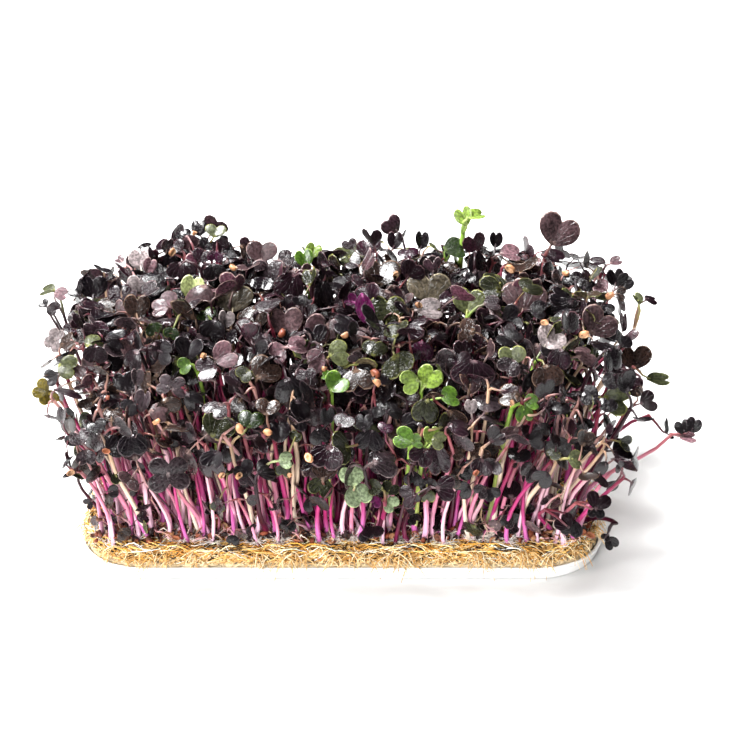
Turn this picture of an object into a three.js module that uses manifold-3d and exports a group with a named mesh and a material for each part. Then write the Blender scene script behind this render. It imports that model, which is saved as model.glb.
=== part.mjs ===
// A tray of radish microgreens, in millimetres, +Z up, +Y towards the back.
// The origin is the middle of the tray's flat underside. A shallow tray holds a fibre growing mat, and the
// sprouts stand on the mat in clumps that their roots knit together, with a few loose sprouts round the rim.
import * as THREE from "three";
import { mergeVertices } from "three/addons/utils/BufferGeometryUtils.js";
import Module from "manifold-3d";

const wasm = await Module();
wasm.setup();

// Driving dimensions, mm
const TRAY = { length: 176, depth: 116, height: 5, corner: 24, wall: 1.2, floor: 1.2, edge: 0.4 };
const MAT = { thickness: 10, clearance: 0.6, edge: 1.6 };
const GAP = 0.3; // left between pieces that rest on each other
const FELT = { length: 156, depth: 97, thickness: 0.8, gap: 0.6, chamfer: 3 };
const CLUMPS = { columns: 8, rows: 4, sprouts: 3 };
const CORNER_STEPS = 4; // fineness of the round corners
// A stem stays over its root for the share upright of its height, and has gone the share bow of its way out.
const STEM = { radius: 1.25, steps: 3, sides: 3, bow: 0.1, upright: 0.6 };
const LEAF = { length: 11.5, width: 13, thickness: 0.8, base: 0.9, cup: 1.5, root: 0.4, step: 1.6 };
// Where a leaf's outline turns, as shares: its widest place and the bottom of its notch along its length, the
// tip of a lobe out from its middle, and how high that tip stands on the cup.
const HEART = { widest: 0.55, notch: 0.86, lobe: 0.28, tip: 0.7 };
const PAIR = {
  first: { rise: [0.05, 0.75], size: [0.85, 1.05] }, // radians from level, and share of the leaf's size
  second: { rise: [-0.05, 0.6], size: [0.7, 0.9] },
};
const PARTNER = { rise: 0.8, size: 0.85 }; // a loose sprout's second leaf, as shares of its first
const CANOPY = {
  height: 68, // of a tall sprout's head above the tray's underside, in the middle
  drop: 9, // how much lower the heads stand at the rim
  spread: { x: 1.16, y: 1.12 }, // how far the heads lean out, as a share of where the roots are
  shortest: 0.66, // height of the shortest sprout in a clump, as a share of the tallest
};
// How a clump's sprouts stand: how far their roots are from its middle, as a share of the clump, the play in
// their places round it, as a share of their spacing, and the play in a head's place and height, mm.
const STRAY = { root: 0.26, turn: 0.25, head: 5, height: 3 };
const CLEARANCE = 2.8; // between the marker points of two sprouts of different clumps
const MARKERS = { stem: 26, along: 6, across: 7 }; // how many along a stem, and along and across a leaf
const ATTEMPTS = 140; // tries at a place for one sprout before it is left out
const SEED = 1207;

const COLOURS = {
  tray: 0xf4f3ef,
  mat: 0xc79a48,
  purple: 0x3a2430,
  burgundy: 0x4a2634,
  mauve: 0x6a4a5a,
  olive: 0x6c7050,
  green: 0x6fae3c,
};

const CLUMP_COLOURS = ["purple", "burgundy", "mauve", "purple"];
const LEAF_ROUGHNESS = 0.55;
const TRAY_ROUGHNESS = 0.4;
const MAT_ROUGHNESS = 0.95;

const MAT_BASE = TRAY.floor + GAP;
const MAT_TOP = MAT_BASE + MAT.thickness;
const FELT_BASE = MAT_TOP + GAP;
const FELT_TOP = FELT_BASE + FELT.thickness;
const PITCH = { x: FELT.length / CLUMPS.columns, y: FELT.depth / CLUMPS.rows };

// Loose sprouts round the rim: where each is rooted, where its head is, the way its leaves point
// (degrees from +X), how far they rise from level, and their size as a share of a clump's leaf.
const LOOSE_SPROUTS = {
  tall_green: { root: [42, 52], head: [44, 47, 84], turn: 20, rise: 50, size: 0.75, colour: "green" },
  tall_purple: { root: [67, 52], head: [73, 48, 78], turn: 10, rise: 62, size: 1.2, colour: "mauve" },
  back_left: { root: [-50, 52], head: [-52, 56, 80], turn: 5, rise: 25, size: 0.95, colour: "purple" },
  left_high: { root: [-82, 18], head: [-103, 22, 60], turn: 170, rise: 15, size: 0.9, colour: "mauve" },
  left_low: { root: [-82, -16], head: [-97, -22, 47], turn: 160, rise: 8, size: 0.95, colour: "olive" },
  right_high: { root: [82, 20], head: [106, 24, 60], turn: 20, rise: 18, size: 0.9, colour: "purple" },
  right_middle: { root: [82, -4], head: [101, -8, 50], turn: 60, rise: 10, size: 0.9, colour: "burgundy" },
  right_long: { root: [82, -28], head: [113, -30, 42], turn: 25, rise: 20, size: 0.85, colour: "mauve" },
  right_reaching: { root: [82, -16], head: [108, -18, 34], turn: 80, rise: 15, size: 0.7, colour: "mauve" },
  right_drooping: { root: [81, -38], head: [91, -49, 20], turn: 40, rise: -8, size: 0.75, colour: "purple" },
};

/** Random numbers from 0 to 1 that are the same on every run. */
function seeded(seed) {
  let state = seed;
  return () => {
    state = (Math.imul(state, 1664525) + 1013904223) >>> 0;
    return state / 2 ** 32;
  };
}

const random = seeded(SEED);
const between = (low, high) => low + (high - low) * random();

/** A closed geometry as a solid for joining and cutting. */
function solidOf(geometry, matrix = new THREE.Matrix4()) {
  const loose = geometry.index ? geometry.toNonIndexed() : geometry;
  const bare = new THREE.BufferGeometry();
  bare.setAttribute("position", loose.getAttribute("position").clone());
  bare.applyMatrix4(matrix);
  const merged = mergeVertices(bare, 1e-4);
  return new wasm.Manifold(
    new wasm.Mesh({
      numProp: 3,
      vertProperties: merged.getAttribute("position").array,
      triVerts: new Uint32Array(merged.index.array),
    }),
  );
}

/** A solid as geometry for a mesh. */
function geometryOf(solid) {
  const { vertProperties, triVerts, numProp } = solid.getMesh();
  const geometry = new THREE.BufferGeometry();
  geometry.setAttribute("position", new THREE.BufferAttribute(vertProperties, numProp));
  geometry.setIndex(new THREE.BufferAttribute(triVerts, 1));
  geometry.computeVertexNormals();
  return geometry;
}

/** A mesh with its own plain material. */
function namedMesh(name, geometry, colour, roughness) {
  const material = new THREE.MeshStandardMaterial({
    color: COLOURS[colour],
    roughness,
    metalness: 0,
    flatShading: true,
  });
  const mesh = new THREE.Mesh(geometry, material);
  mesh.name = name;
  return mesh;
}

/** A rectangle with round corners, centred on the origin. */
function roundedRectangle(length, depth, corner) {
  const shape = new THREE.Shape();
  const [x, y] = [length / 2 - corner, depth / 2 - corner];
  shape.absarc(x, y, corner, 0, Math.PI / 2);
  shape.absarc(-x, y, corner, Math.PI / 2, Math.PI);
  shape.absarc(-x, -y, corner, Math.PI, 1.5 * Math.PI);
  shape.absarc(x, -y, corner, 1.5 * Math.PI, 2 * Math.PI);
  return shape;
}

/** A slab from z = 0 up, its outline a rounded rectangle and its top and bottom edges eased. */
function easedSlab({ length, depth, height, corner, edge }) {
  const outline = roundedRectangle(length - 2 * edge, depth - 2 * edge, corner - edge);
  const slab = new THREE.ExtrudeGeometry(outline, {
    depth: height - 2 * edge,
    bevelThickness: edge,
    bevelSize: edge,
    bevelSegments: 1,
    curveSegments: CORNER_STEPS,
  });
  return slab.translate(0, 0, edge);
}

/** The tray: a shallow dish with a flat floor and a low upright rim. */
function makeTray() {
  const { length, depth, height, corner, wall, floor } = TRAY;
  const inner = roundedRectangle(length - 2 * wall, depth - 2 * wall, corner - wall);
  const hollow = new THREE.ExtrudeGeometry(inner, {
    depth: height,
    bevelEnabled: false,
    curveSegments: CORNER_STEPS,
  });
  hollow.translate(0, 0, floor);
  return geometryOf(solidOf(easedSlab(TRAY)).subtract(solidOf(hollow)));
}

/** The growing mat: a thick pad that fills the tray and stands proud of its rim. */
function makeMat() {
  const inset = 2 * (TRAY.wall + MAT.clearance);
  const mat = easedSlab({
    length: TRAY.length - inset,
    depth: TRAY.depth - inset,
    height: MAT.thickness,
    corner: TRAY.corner - inset / 2,
    edge: MAT.edge,
  });
  return mat.translate(0, 0, MAT_BASE);
}

/** A flat plate of knitted roots with this outline, lying on the mat. */
function rootPlate(outline, x, y) {
  const plate = new THREE.ExtrudeGeometry(outline, {
    depth: FELT.thickness,
    bevelEnabled: false,
    curveSegments: 2,
  });
  return solidOf(plate.translate(x, y, FELT_BASE));
}

/** The outline of one clump's patch of roots: a rectangle with its corners cut off. */
function patchOutline() {
  const [x, y, cut] = [(PITCH.x - FELT.gap) / 2, (PITCH.y - FELT.gap) / 2, FELT.chamfer];
  const corners = [[1, 1], [-1, 1], [-1, -1], [1, -1]];
  const points = corners.flatMap(([sx, sy]) => {
    const upright = new THREE.Vector2(sx * x, sy * (y - cut));
    const level = new THREE.Vector2(sx * (x - cut), sy * y);
    return sx * sy > 0 ? [upright, level] : [level, upright];
  });
  return new THREE.Shape(points);
}

/** The outline of a loose sprout's own root, a small disc. */
function discOutline() {
  const outline = new THREE.Shape();
  outline.absarc(0, 0, 2 * STEM.radius, 0, 2 * Math.PI);
  return outline;
}

/** A heart-shaped seed leaf along +Y from the origin, cupped, and thickest in the middle. */
function makeLeaf() {
  const { length, width, thickness, base, cup, root } = LEAF;
  const { widest, notch, lobe, tip } = HEART;
  const rim = [
    [-base / 2, -root, 0],
    [base / 2, -root, 0],
    [width / 2, widest * length, cup],
    [lobe * width, length, tip * cup],
    [0, notch * length, 0],
    [-lobe * width, length, tip * cup],
    [-width / 2, widest * length, cup],
  ];
  const middle = [-1, 1].map((side) => [0, 0.5 * length, (side * thickness) / 2]);
  const [under, over] = [rim.length, rim.length + 1];
  const faces = rim.flatMap((_, i) => {
    const next = (i + 1) % rim.length;
    return [i, next, over, next, i, under];
  });
  const leaf = new THREE.BufferGeometry();
  leaf.setAttribute("position", new THREE.Float32BufferAttribute([...rim, ...middle].flat(), 3));
  return leaf.setIndex(faces);
}

const leafGeometry = makeLeaf();

/** The leaf's half width at a share of its length, for the marker points. */
const halfWidth = (share) => (LEAF.width / 2) * Math.min(1, share / HEART.widest);

const stemSection = new THREE.Shape(
  Array.from({ length: STEM.sides }, (_, i) => {
    const angle = (2 * Math.PI * i) / STEM.sides;
    return new THREE.Vector2(STEM.radius * Math.cos(angle), STEM.radius * Math.sin(angle));
  }),
);

/** Where a leaf stands: it leaves the head along a bearing, and rises from level by an angle. */
function leafMatrix(head, bearing, rise, size) {
  const level = Math.cos(rise);
  const along = new THREE.Vector3(Math.cos(bearing) * level, Math.sin(bearing) * level, Math.sin(rise));
  const across = new THREE.Vector3(Math.sin(bearing), -Math.cos(bearing), 0);
  const face = new THREE.Vector3().crossVectors(across, along);
  const turned = new THREE.Matrix4().makeBasis(across, along, face);
  return turned.scale(new THREE.Vector3(size, size, 1)).setPosition(head);
}

/** A sprout as its stem's curve and its two leaves' places. */
function planSprout(root, head, bearing, rises, sizes) {
  const control = new THREE.Vector3(
    root.x + STEM.bow * (head.x - root.x),
    root.y + STEM.bow * (head.y - root.y),
    root.z + STEM.upright * (head.z - root.z),
  );
  const down = new THREE.Vector3().subVectors(control, head).normalize();
  return {
    curve: new THREE.QuadraticBezierCurve3(root, control, head),
    leaves: [0, 1].map((i) => {
      const joint = head.clone().addScaledVector(down, ((1 + i) * LEAF.step) / 2);
      return leafMatrix(joint, bearing + i * Math.PI, rises[i], sizes[i]);
    }),
  };
}

/** Marker points over a sprout's stem and leaves, about 2 mm apart. */
function markersOf(plan) {
  const markers = plan.curve.getSpacedPoints(MARKERS.stem);
  for (const matrix of plan.leaves)
    for (let row = 0; row < MARKERS.along; row++)
      for (let column = 0; column < MARKERS.across; column++) {
        const along = 0.1 + (0.85 * row) / (MARKERS.along - 1);
        const across = -1 + (2 * column) / (MARKERS.across - 1);
        const place = new THREE.Vector3(across * halfWidth(along), along * LEAF.length, 0);
        markers.push(place.applyMatrix4(matrix));
      }
  return markers;
}

/** The marker points of the sprouts placed so far, kept in boxes as wide as the clearance. */
const taken = new Map();
const boxOf = ({ x, y, z }, steps = [0, 0, 0]) =>
  [x, y, z].map((value, i) => Math.floor(value / CLEARANCE) + steps[i]).join();

function keepMarkers(markers, owner) {
  for (const point of markers) {
    const box = boxOf(point);
    if (!taken.has(box)) taken.set(box, []);
    taken.get(box).push({ point, owner });
  }
}

/** True if none of the markers is near a marker of another owner. */
function isClear(markers, owner) {
  const steps = [-1, 0, 1];
  return markers.every((point) =>
    steps.every((dx) =>
      steps.every((dy) =>
        steps.every((dz) =>
          (taken.get(boxOf(point, [dx, dy, dz])) ?? []).every(
            (other) => other.owner === owner || other.point.distanceTo(point) > CLEARANCE,
          ),
        ),
      ),
    ),
  );
}

/** The solid of a planned sprout: its stem joined with its two leaves. */
function sproutSolid(plan) {
  const stem = new THREE.ExtrudeGeometry(stemSection, {
    steps: STEM.steps,
    extrudePath: plan.curve,
    bevelEnabled: false,
  });
  return plan.leaves.reduce((sprout, matrix) => sprout.add(solidOf(leafGeometry, matrix)), solidOf(stem));
}

/** A plan for one sprout of a clump that stays clear of the other clumps, or null if there's no room. */
function placeSprout(centre, order, owner) {
  const tallness = CANOPY.shortest + ((1 - CANOPY.shortest) * (order + 1)) / CLUMPS.sprouts;
  for (let attempt = 0; attempt < ATTEMPTS; attempt++) {
    const bearing = between(0, 2 * Math.PI);
    const place = (2 * Math.PI * (order + between(-STRAY.turn, STRAY.turn))) / CLUMPS.sprouts;
    const root = new THREE.Vector3(
      centre.x + STRAY.root * PITCH.x * Math.cos(place),
      centre.y + STRAY.root * PITCH.y * Math.sin(place),
      (FELT_BASE + FELT_TOP) / 2,
    );
    const rim = Math.max(Math.abs(root.x) / (FELT.length / 2), Math.abs(root.y) / (FELT.depth / 2));
    const head = new THREE.Vector3(
      root.x * CANOPY.spread.x + between(-STRAY.head, STRAY.head),
      root.y * CANOPY.spread.y + between(-STRAY.head, STRAY.head),
      (CANOPY.height - CANOPY.drop * rim ** 2) * tallness + between(-STRAY.height, STRAY.height),
    );
    const plan = planSprout(
      root,
      head,
      bearing,
      [between(...PAIR.first.rise), between(...PAIR.second.rise)],
      [between(...PAIR.first.size), between(...PAIR.second.size)],
    );
    const markers = markersOf(plan);
    if (isClear(markers, owner)) {
      keepMarkers(markers, owner);
      return plan;
    }
  }
  return null;
}

/** One loose sprout with its own root, as a named mesh. */
function makeLooseSprout(name, { root, head, turn, rise, size, colour }) {
  const rooted = new THREE.Vector3(root[0], root[1], (FELT_BASE + FELT_TOP) / 2);
  const tilt = THREE.MathUtils.degToRad(rise);
  const plan = planSprout(
    rooted,
    new THREE.Vector3(...head),
    THREE.MathUtils.degToRad(turn),
    [tilt, tilt * PARTNER.rise],
    [size, size * PARTNER.size],
  );
  keepMarkers(markersOf(plan), name);
  const solid = rootPlate(discOutline(), rooted.x, rooted.y).add(sproutSolid(plan));
  return namedMesh(name, geometryOf(solid), colour, LEAF_ROUGHNESS);
}

/** One clump: a patch of roots and the sprouts that stand on it, as a named mesh. */
function makeClump(row, column) {
  const name = `sprouts_row${row + 1}_${column + 1}`;
  const centre = new THREE.Vector2(
    (column + 0.5) * PITCH.x - FELT.length / 2,
    (row + 0.5) * PITCH.y - FELT.depth / 2,
  );
  let clump = rootPlate(patchOutline(), centre.x, centre.y);
  for (let order = 0; order < CLUMPS.sprouts; order++) {
    const plan = placeSprout(centre, order, name);
    if (plan) clump = clump.add(sproutSolid(plan));
  }
  const colour = CLUMP_COLOURS[Math.floor(between(0, CLUMP_COLOURS.length))];
  return namedMesh(name, geometryOf(clump), colour, LEAF_ROUGHNESS);
}

const root = new THREE.Group();
root.name = "radish_microgreens_tray";
root.add(namedMesh("tray", makeTray(), "tray", TRAY_ROUGHNESS));
root.add(namedMesh("growing_mat", makeMat(), "mat", MAT_ROUGHNESS));

const looseSprouts = new THREE.Group();
for (const [place, sprout] of Object.entries(LOOSE_SPROUTS))
  looseSprouts.add(makeLooseSprout(`sprout_${place}`, sprout));
root.add(looseSprouts);

const clumps = new THREE.Group();
for (let row = 0; row < CLUMPS.rows; row++)
  for (let column = 0; column < CLUMPS.columns; column++) clumps.add(makeClump(row, column));
root.add(clumps);

export default root;
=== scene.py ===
"""A tray of purple radish microgreens: the looks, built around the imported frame.

Every length in this file is in millimetres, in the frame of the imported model, until a mesh is made.
"""

import logging
import math
from dataclasses import dataclass, field
from enum import Enum
from typing import Any

import bpy
import numpy as np
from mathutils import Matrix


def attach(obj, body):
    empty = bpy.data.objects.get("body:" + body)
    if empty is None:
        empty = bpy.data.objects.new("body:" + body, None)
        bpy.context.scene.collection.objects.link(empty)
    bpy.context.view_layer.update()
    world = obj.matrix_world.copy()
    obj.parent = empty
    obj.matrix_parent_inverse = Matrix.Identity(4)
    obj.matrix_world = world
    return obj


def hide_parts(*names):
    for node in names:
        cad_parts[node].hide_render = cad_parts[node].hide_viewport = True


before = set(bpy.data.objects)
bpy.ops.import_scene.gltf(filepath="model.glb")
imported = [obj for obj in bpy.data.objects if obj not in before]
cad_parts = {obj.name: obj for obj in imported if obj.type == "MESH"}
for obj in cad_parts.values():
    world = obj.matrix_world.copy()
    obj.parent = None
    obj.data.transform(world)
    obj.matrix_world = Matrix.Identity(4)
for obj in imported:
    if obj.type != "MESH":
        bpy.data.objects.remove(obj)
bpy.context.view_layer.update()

Array = np.ndarray
Colour = tuple[float, float, float]
Spot = tuple[float, float, float]
Pair = tuple[Array, Array]
Span = tuple[float, float]
Material = bpy.types.Material
Socket = bpy.types.NodeSocket
MM = 0.001
BODY = "root"
UP = np.array([0.0, 0.0, 1.0])
BAKE_MAP = "OFBake"
GUTTER = 0.04  # the empty rim of a bake map's cell, as a share of the cell
log = logging.getLogger("microgreens")


# ---------------------------------------------------------------- small sums


def unit(vectors: Array) -> Array:
    """Scales vectors to length one, along the last axis."""
    return vectors / np.maximum(np.linalg.norm(vectors, axis=-1, keepdims=True), 1e-9)


def linear(colour: Any) -> Array:
    """Turns screen colours of 0 to 255 into linear light, by the sRGB curve.

    Args:
        colour: one colour or an array of colours, red, green and blue last.

    Returns:
        The same shape, from 0 to 1.
    """
    c = np.asarray(colour, float) / 255
    return np.where(c <= 0.04045, c / 12.92, ((c + 0.055) / 1.055) ** 2.4)


def ease(t: Array) -> Array:
    """The smooth step 3t² - 2t³, held to 0 and 1 outside."""
    t = np.clip(t, 0, 1)
    return t * t * (3 - 2 * t)


def ripples(points: Array, wavelength: float, seed: int, waves: int = 9) -> Array:
    """Smooth unevenness: the mean of sine waves in seeded directions, from about -1 to 1.

    Args:
        points: places, with x, y and z last.
        wavelength: the middle wavelength.
        seed: the seed of the directions and phases.
        waves: how many waves are added.

    Returns:
        One number a place.
    """
    rng = np.random.default_rng(seed)
    turns = unit(rng.normal(size=(waves, 3))) * (2 * math.pi / wavelength)
    turns *= rng.uniform(0.6, 1.7, (waves, 1))
    return np.sin(points @ turns.T + rng.uniform(0, 2 * math.pi, waves)).sum(-1) / waves**0.5


def spun(axis: Array, turn: Array) -> tuple[Array, Array]:
    """Two directions across each axis, turned about it by an angle.

    Args:
        axis: unit vectors.
        turn: one angle an axis, in radians.

    Returns:
        The first direction, and the one a quarter turn on, so that first x second = axis.
    """
    helper = np.where(np.abs(axis[..., 2:3]) < 0.9, UP, np.array([1.0, 0.0, 0.0]))
    first = unit(np.cross(helper, axis))
    second = np.cross(axis, first)
    c, s = np.cos(turn)[..., None], np.sin(turn)[..., None]
    return first * c + second * s, second * c - first * s


# ---------------------------------------------------------------- meshes


@dataclass
class Shell:
    """Closed surfaces as plain arrays, before they become a mesh.

    points (V, 3); tris (T, 3) and quads (Q, 4) of point numbers; tone (V, 3), the linear colour of
    each point; place (L, 2), each corner's place in the pattern; nest (L, 2), its place in its own
    cell of the bake map, and cell (L,), which cell that is. Corners run through tris, then quads.
    """

    points: Array
    tris: Array
    quads: Array
    tone: Array
    place: Array
    nest: Array
    cell: Array

    @staticmethod
    def joined(shells: list["Shell"]) -> "Shell":
        """Puts several shells into one, with their point and cell numbers moved on."""
        points = np.cumsum([0] + [len(s.points) for s in shells])
        cells = np.cumsum([0] + [int(s.cell.max()) + 1 for s in shells])
        cuts = [s.tris.size for s in shells]

        def corners(parts: list[Array]) -> Array:
            """One field of all corners: those of the tris first, then those of the quads."""
            return np.concatenate([p[:c] for p, c in zip(parts, cuts)] + [p[c:] for p, c in zip(parts, cuts)])

        return Shell(
            np.concatenate([s.points for s in shells]),
            np.concatenate([s.tris + start for s, start in zip(shells, points)]),
            np.concatenate([s.quads + start for s, start in zip(shells, points)]),
            np.concatenate([s.tone for s in shells]),
            corners([s.place for s in shells]),
            corners([s.nest for s in shells]),
            corners([s.cell + first for s, first in zip(shells, cells)]),
        )

    @staticmethod
    def repeated(points: Array, tone: Array, tris: Array, quads: Array, plan: Pair, nest: Pair) -> "Shell":
        """Many closed surfaces of one make.

        Args:
            points: (N, P, 3) each surface's points.
            tone: (N, P, 3) their linear colours.
            tris: (T, 3) one surface's triangles.
            quads: (Q, 4) its quads.
            plan: the corners' places in the pattern, of the tris and of the quads.
            nest: the same for the bake map's cell.

        Returns:
            The shell.
        """
        n, per = points.shape[:2]
        step = (np.arange(n) * per)[:, None, None]
        place, nested = (np.concatenate([np.tile(part, (n, 1)) for part in pair]) for pair in (plan, nest))
        cell = np.concatenate([np.repeat(np.arange(n), faces.size) for faces in (tris, quads)])
        tris, quads = (tris[None] + step).reshape(-1, 3), (quads[None] + step).reshape(-1, 4)
        return Shell(points.reshape(-1, 3), tris, quads, tone.reshape(-1, 3), place, nested, cell)

    def mesh(self, name: str, smooth: bool = True) -> bpy.types.Object:
        """Makes the Blender object, with its tone attribute, its pattern map and its bake map.

        Args:
            name: the object's name.
            smooth: whether faces are shaded smooth.

        Returns:
            The object, at the origin, in metres.
        """
        data = bpy.data.meshes.new(name)
        corners = np.concatenate([self.tris.ravel(), self.quads.ravel()]).astype(np.int32)
        t, q = len(self.tris), len(self.quads)
        starts = np.concatenate([np.arange(t) * 3, t * 3 + np.arange(q) * 4]).astype(np.int32)
        data.vertices.add(len(self.points))
        data.vertices.foreach_set("co", (self.points * MM).astype(np.float32).ravel())
        data.loops.add(len(corners))
        data.loops.foreach_set("vertex_index", corners)
        data.polygons.add(t + q)
        data.polygons.foreach_set("loop_start", starts)
        data.update(calc_edges=True)
        data.polygons.foreach_set("use_smooth", np.full(t + q, smooth))
        tone = data.attributes.new("tone", "FLOAT_COLOR", "POINT")
        opaque = np.column_stack([self.tone, np.ones(len(self.tone))])
        tone.data.foreach_set("color", opaque.astype(np.float32).ravel())
        pattern = data.uv_layers.new(name="pattern")
        pattern.data.foreach_set("uv", self.place.astype(np.float32).ravel())
        count = int(self.cell.max()) + 1
        across = max(1, math.ceil(math.sqrt(count * self.squareness())))
        down = math.ceil(count / across)
        corner = np.column_stack([self.cell % across, self.cell // across])
        spread = (corner + GUTTER + (1 - 2 * GUTTER) * self.nest) / np.array([across, down])
        bake = data.uv_layers.new(name=BAKE_MAP)
        bake.data.foreach_set("uv", spread.astype(np.float32).ravel())
        data.validate()
        thing = bpy.data.objects.new(name, data)
        bpy.context.scene.collection.objects.link(thing)
        return thing

    def squareness(self) -> float:
        """How many cells fit across for each one down: six where the pattern is drawn out, as on stems."""
        return 6.0 if len(self.quads) and self.place[:, 1].max() > 1.5 else 1.0


def swept(rings: Array, start: Array, end: Array, tone: Array, stretch: float = 1.0) -> Shell:
    """Closes rows of rings into tubes with a point at each end.

    Ring k of tube n holds its points in order round the tube, turning from its first direction to
    its second, and rings follow one another along their third, so that faces point outwards.

    Args:
        rings: (N, K, S, 3) points.
        start: (N, 3) the point that closes the first ring.
        end: (N, 3) the point that closes the last ring.
        tone: (N, K, 3) linear colour of each ring.
        stretch: the pattern's length along the tube.

    Returns:
        The shell.
    """
    n, k, s, _ = rings.shape
    points = np.concatenate([rings.reshape(n, k * s, 3), start[:, None], end[:, None]], 1)
    colour = np.concatenate([np.repeat(tone, s, axis=1), tone[:, :1], tone[:, -1:]], 1)
    row, side = np.meshgrid(np.arange(k - 1), np.arange(s), indexing="ij")
    turn = (side + 1) % s
    quads = np.stack([row * s + side, row * s + turn, (row + 1) * s + turn, (row + 1) * s + side], -1)
    i = np.arange(s)
    j = (i + 1) % s
    low, high = np.full(s, k * s), np.full(s, k * s + 1)
    tris = np.concatenate([np.stack([low, j, i], -1), np.stack([high, (k - 1) * s + i, (k - 1) * s + j], -1)])

    def corner(around: Array, along: Array) -> Array:
        """A corner's place: its share of the way round and along."""
        return np.stack([around / s, 0.03 + 0.94 * along / (k - 1)], -1)

    def fan(pole: float, *ends: Array) -> Array:
        """The corners of the triangles that close one end, its pole first."""
        return np.stack([np.stack([(i + 0.5) / s, 0 * i + pole], -1), *ends], 1)

    quad_nest = np.stack(
        [corner(side, row), corner(side + 1, row), corner(side + 1, row + 1), corner(side, row + 1)], -2
    ).reshape(-1, 2)
    last = 0 * i + k - 1
    tri_nest = np.concatenate([
        fan(0.0, corner(i + 1, 0 * i), corner(i, 0 * i)), fan(1.0, corner(i, last), corner(i + 1, last))
    ]).reshape(-1, 2)
    nest = (tri_nest, quad_nest)
    drawn = tuple(part * np.array([1.0, stretch]) for part in nest)
    return Shell.repeated(points, colour, tris, quads.reshape(-1, 4), drawn, nest)


def tubes(paths: Array, radii: Array, sides: int, tone: Array, stretch: float = 2.0) -> Shell:
    """Round tubes along paths: each ring stands square to its path, and its first direction is the
    last ring's, less what now lies along the path, so that the tube doesn't twist.

    Args:
        paths: (N, K, 3) points along each tube.
        radii: (N, K) radius at each.
        sides: points round each ring.
        tone: (N, K, 3) linear colours.
        stretch: the pattern's length along the tube.

    Returns:
        The shell.
    """
    ahead = unit(np.gradient(paths, axis=1))
    first = np.empty_like(paths)
    first[:, 0] = spun(ahead[:, 0], np.zeros(len(paths)))[0]
    for k in range(1, paths.shape[1]):
        held = first[:, k - 1]
        first[:, k] = unit(held - (held * ahead[:, k]).sum(-1, keepdims=True) * ahead[:, k])
    second = np.cross(ahead, first)
    angle = np.arange(sides) * 2 * math.pi / sides
    ring = first[:, :, None] * np.cos(angle)[:, None] + second[:, :, None] * np.sin(angle)[:, None]
    rings = paths[:, :, None] + ring * radii[:, :, None, None]
    start = paths[:, 0] - ahead[:, 0] * radii[:, :1] * 0.5
    end = paths[:, -1] + ahead[:, -1] * radii[:, -1:] * 0.6
    return swept(rings, start, end, tone, stretch)


def turned(centre: Array, axis: Array, spin: Array, radius: Array, height: Array, sides: int, tone: Array,
           oval: float = 1.0) -> Shell:
    """Bodies of revolution: a profile of radius over height, turned round an axis.

    Args:
        centre: (N, 3) the foot of each axis.
        axis: (N, 3) unit axes.
        spin: (N,) how far each is turned about its axis.
        radius: (N, K) the profile's radius, outside first if it folds back inside.
        height: (N, K) the profile's height along the axis.
        sides: points round each ring.
        tone: (N, K, 3) linear colours.
        oval: the second direction's share of the first.

    Returns:
        The shell.
    """
    first, second = spun(axis, spin)
    angle = np.arange(sides) * 2 * math.pi / sides
    ring = first[:, None] * np.cos(angle)[:, None] + second[:, None] * np.sin(angle)[:, None] * oval
    along = centre[:, None] + axis[:, None] * height[..., None]
    rings = along[:, :, None] + ring[:, None] * radius[:, :, None, None]
    return swept(rings, along[:, 0], along[:, -1], tone, 1.0)


def bend(start: Array, leave: Array, arrive: Array, end: Array, steps: Array) -> Array:
    """Cubic Bézier curves: (1-t)³ start + 3(1-t)²t leave + 3(1-t)t² arrive + t³ end.

    Args:
        start: (N, 3) first points.
        leave: (N, 3) points that they head for.
        arrive: (N, 3) points that the curves come from at their ends.
        end: (N, 3) last points.
        steps: (K,) values of t.

    Returns:
        (N, K, 3) points.
    """
    t = steps[None, :, None]
    u = 1 - t
    first = u**3 * start[:, None] + 3 * u * u * t * leave[:, None]
    return first + 3 * u * t * t * arrive[:, None] + t**3 * end[:, None]


# ---------------------------------------------------------------- finishes


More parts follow.
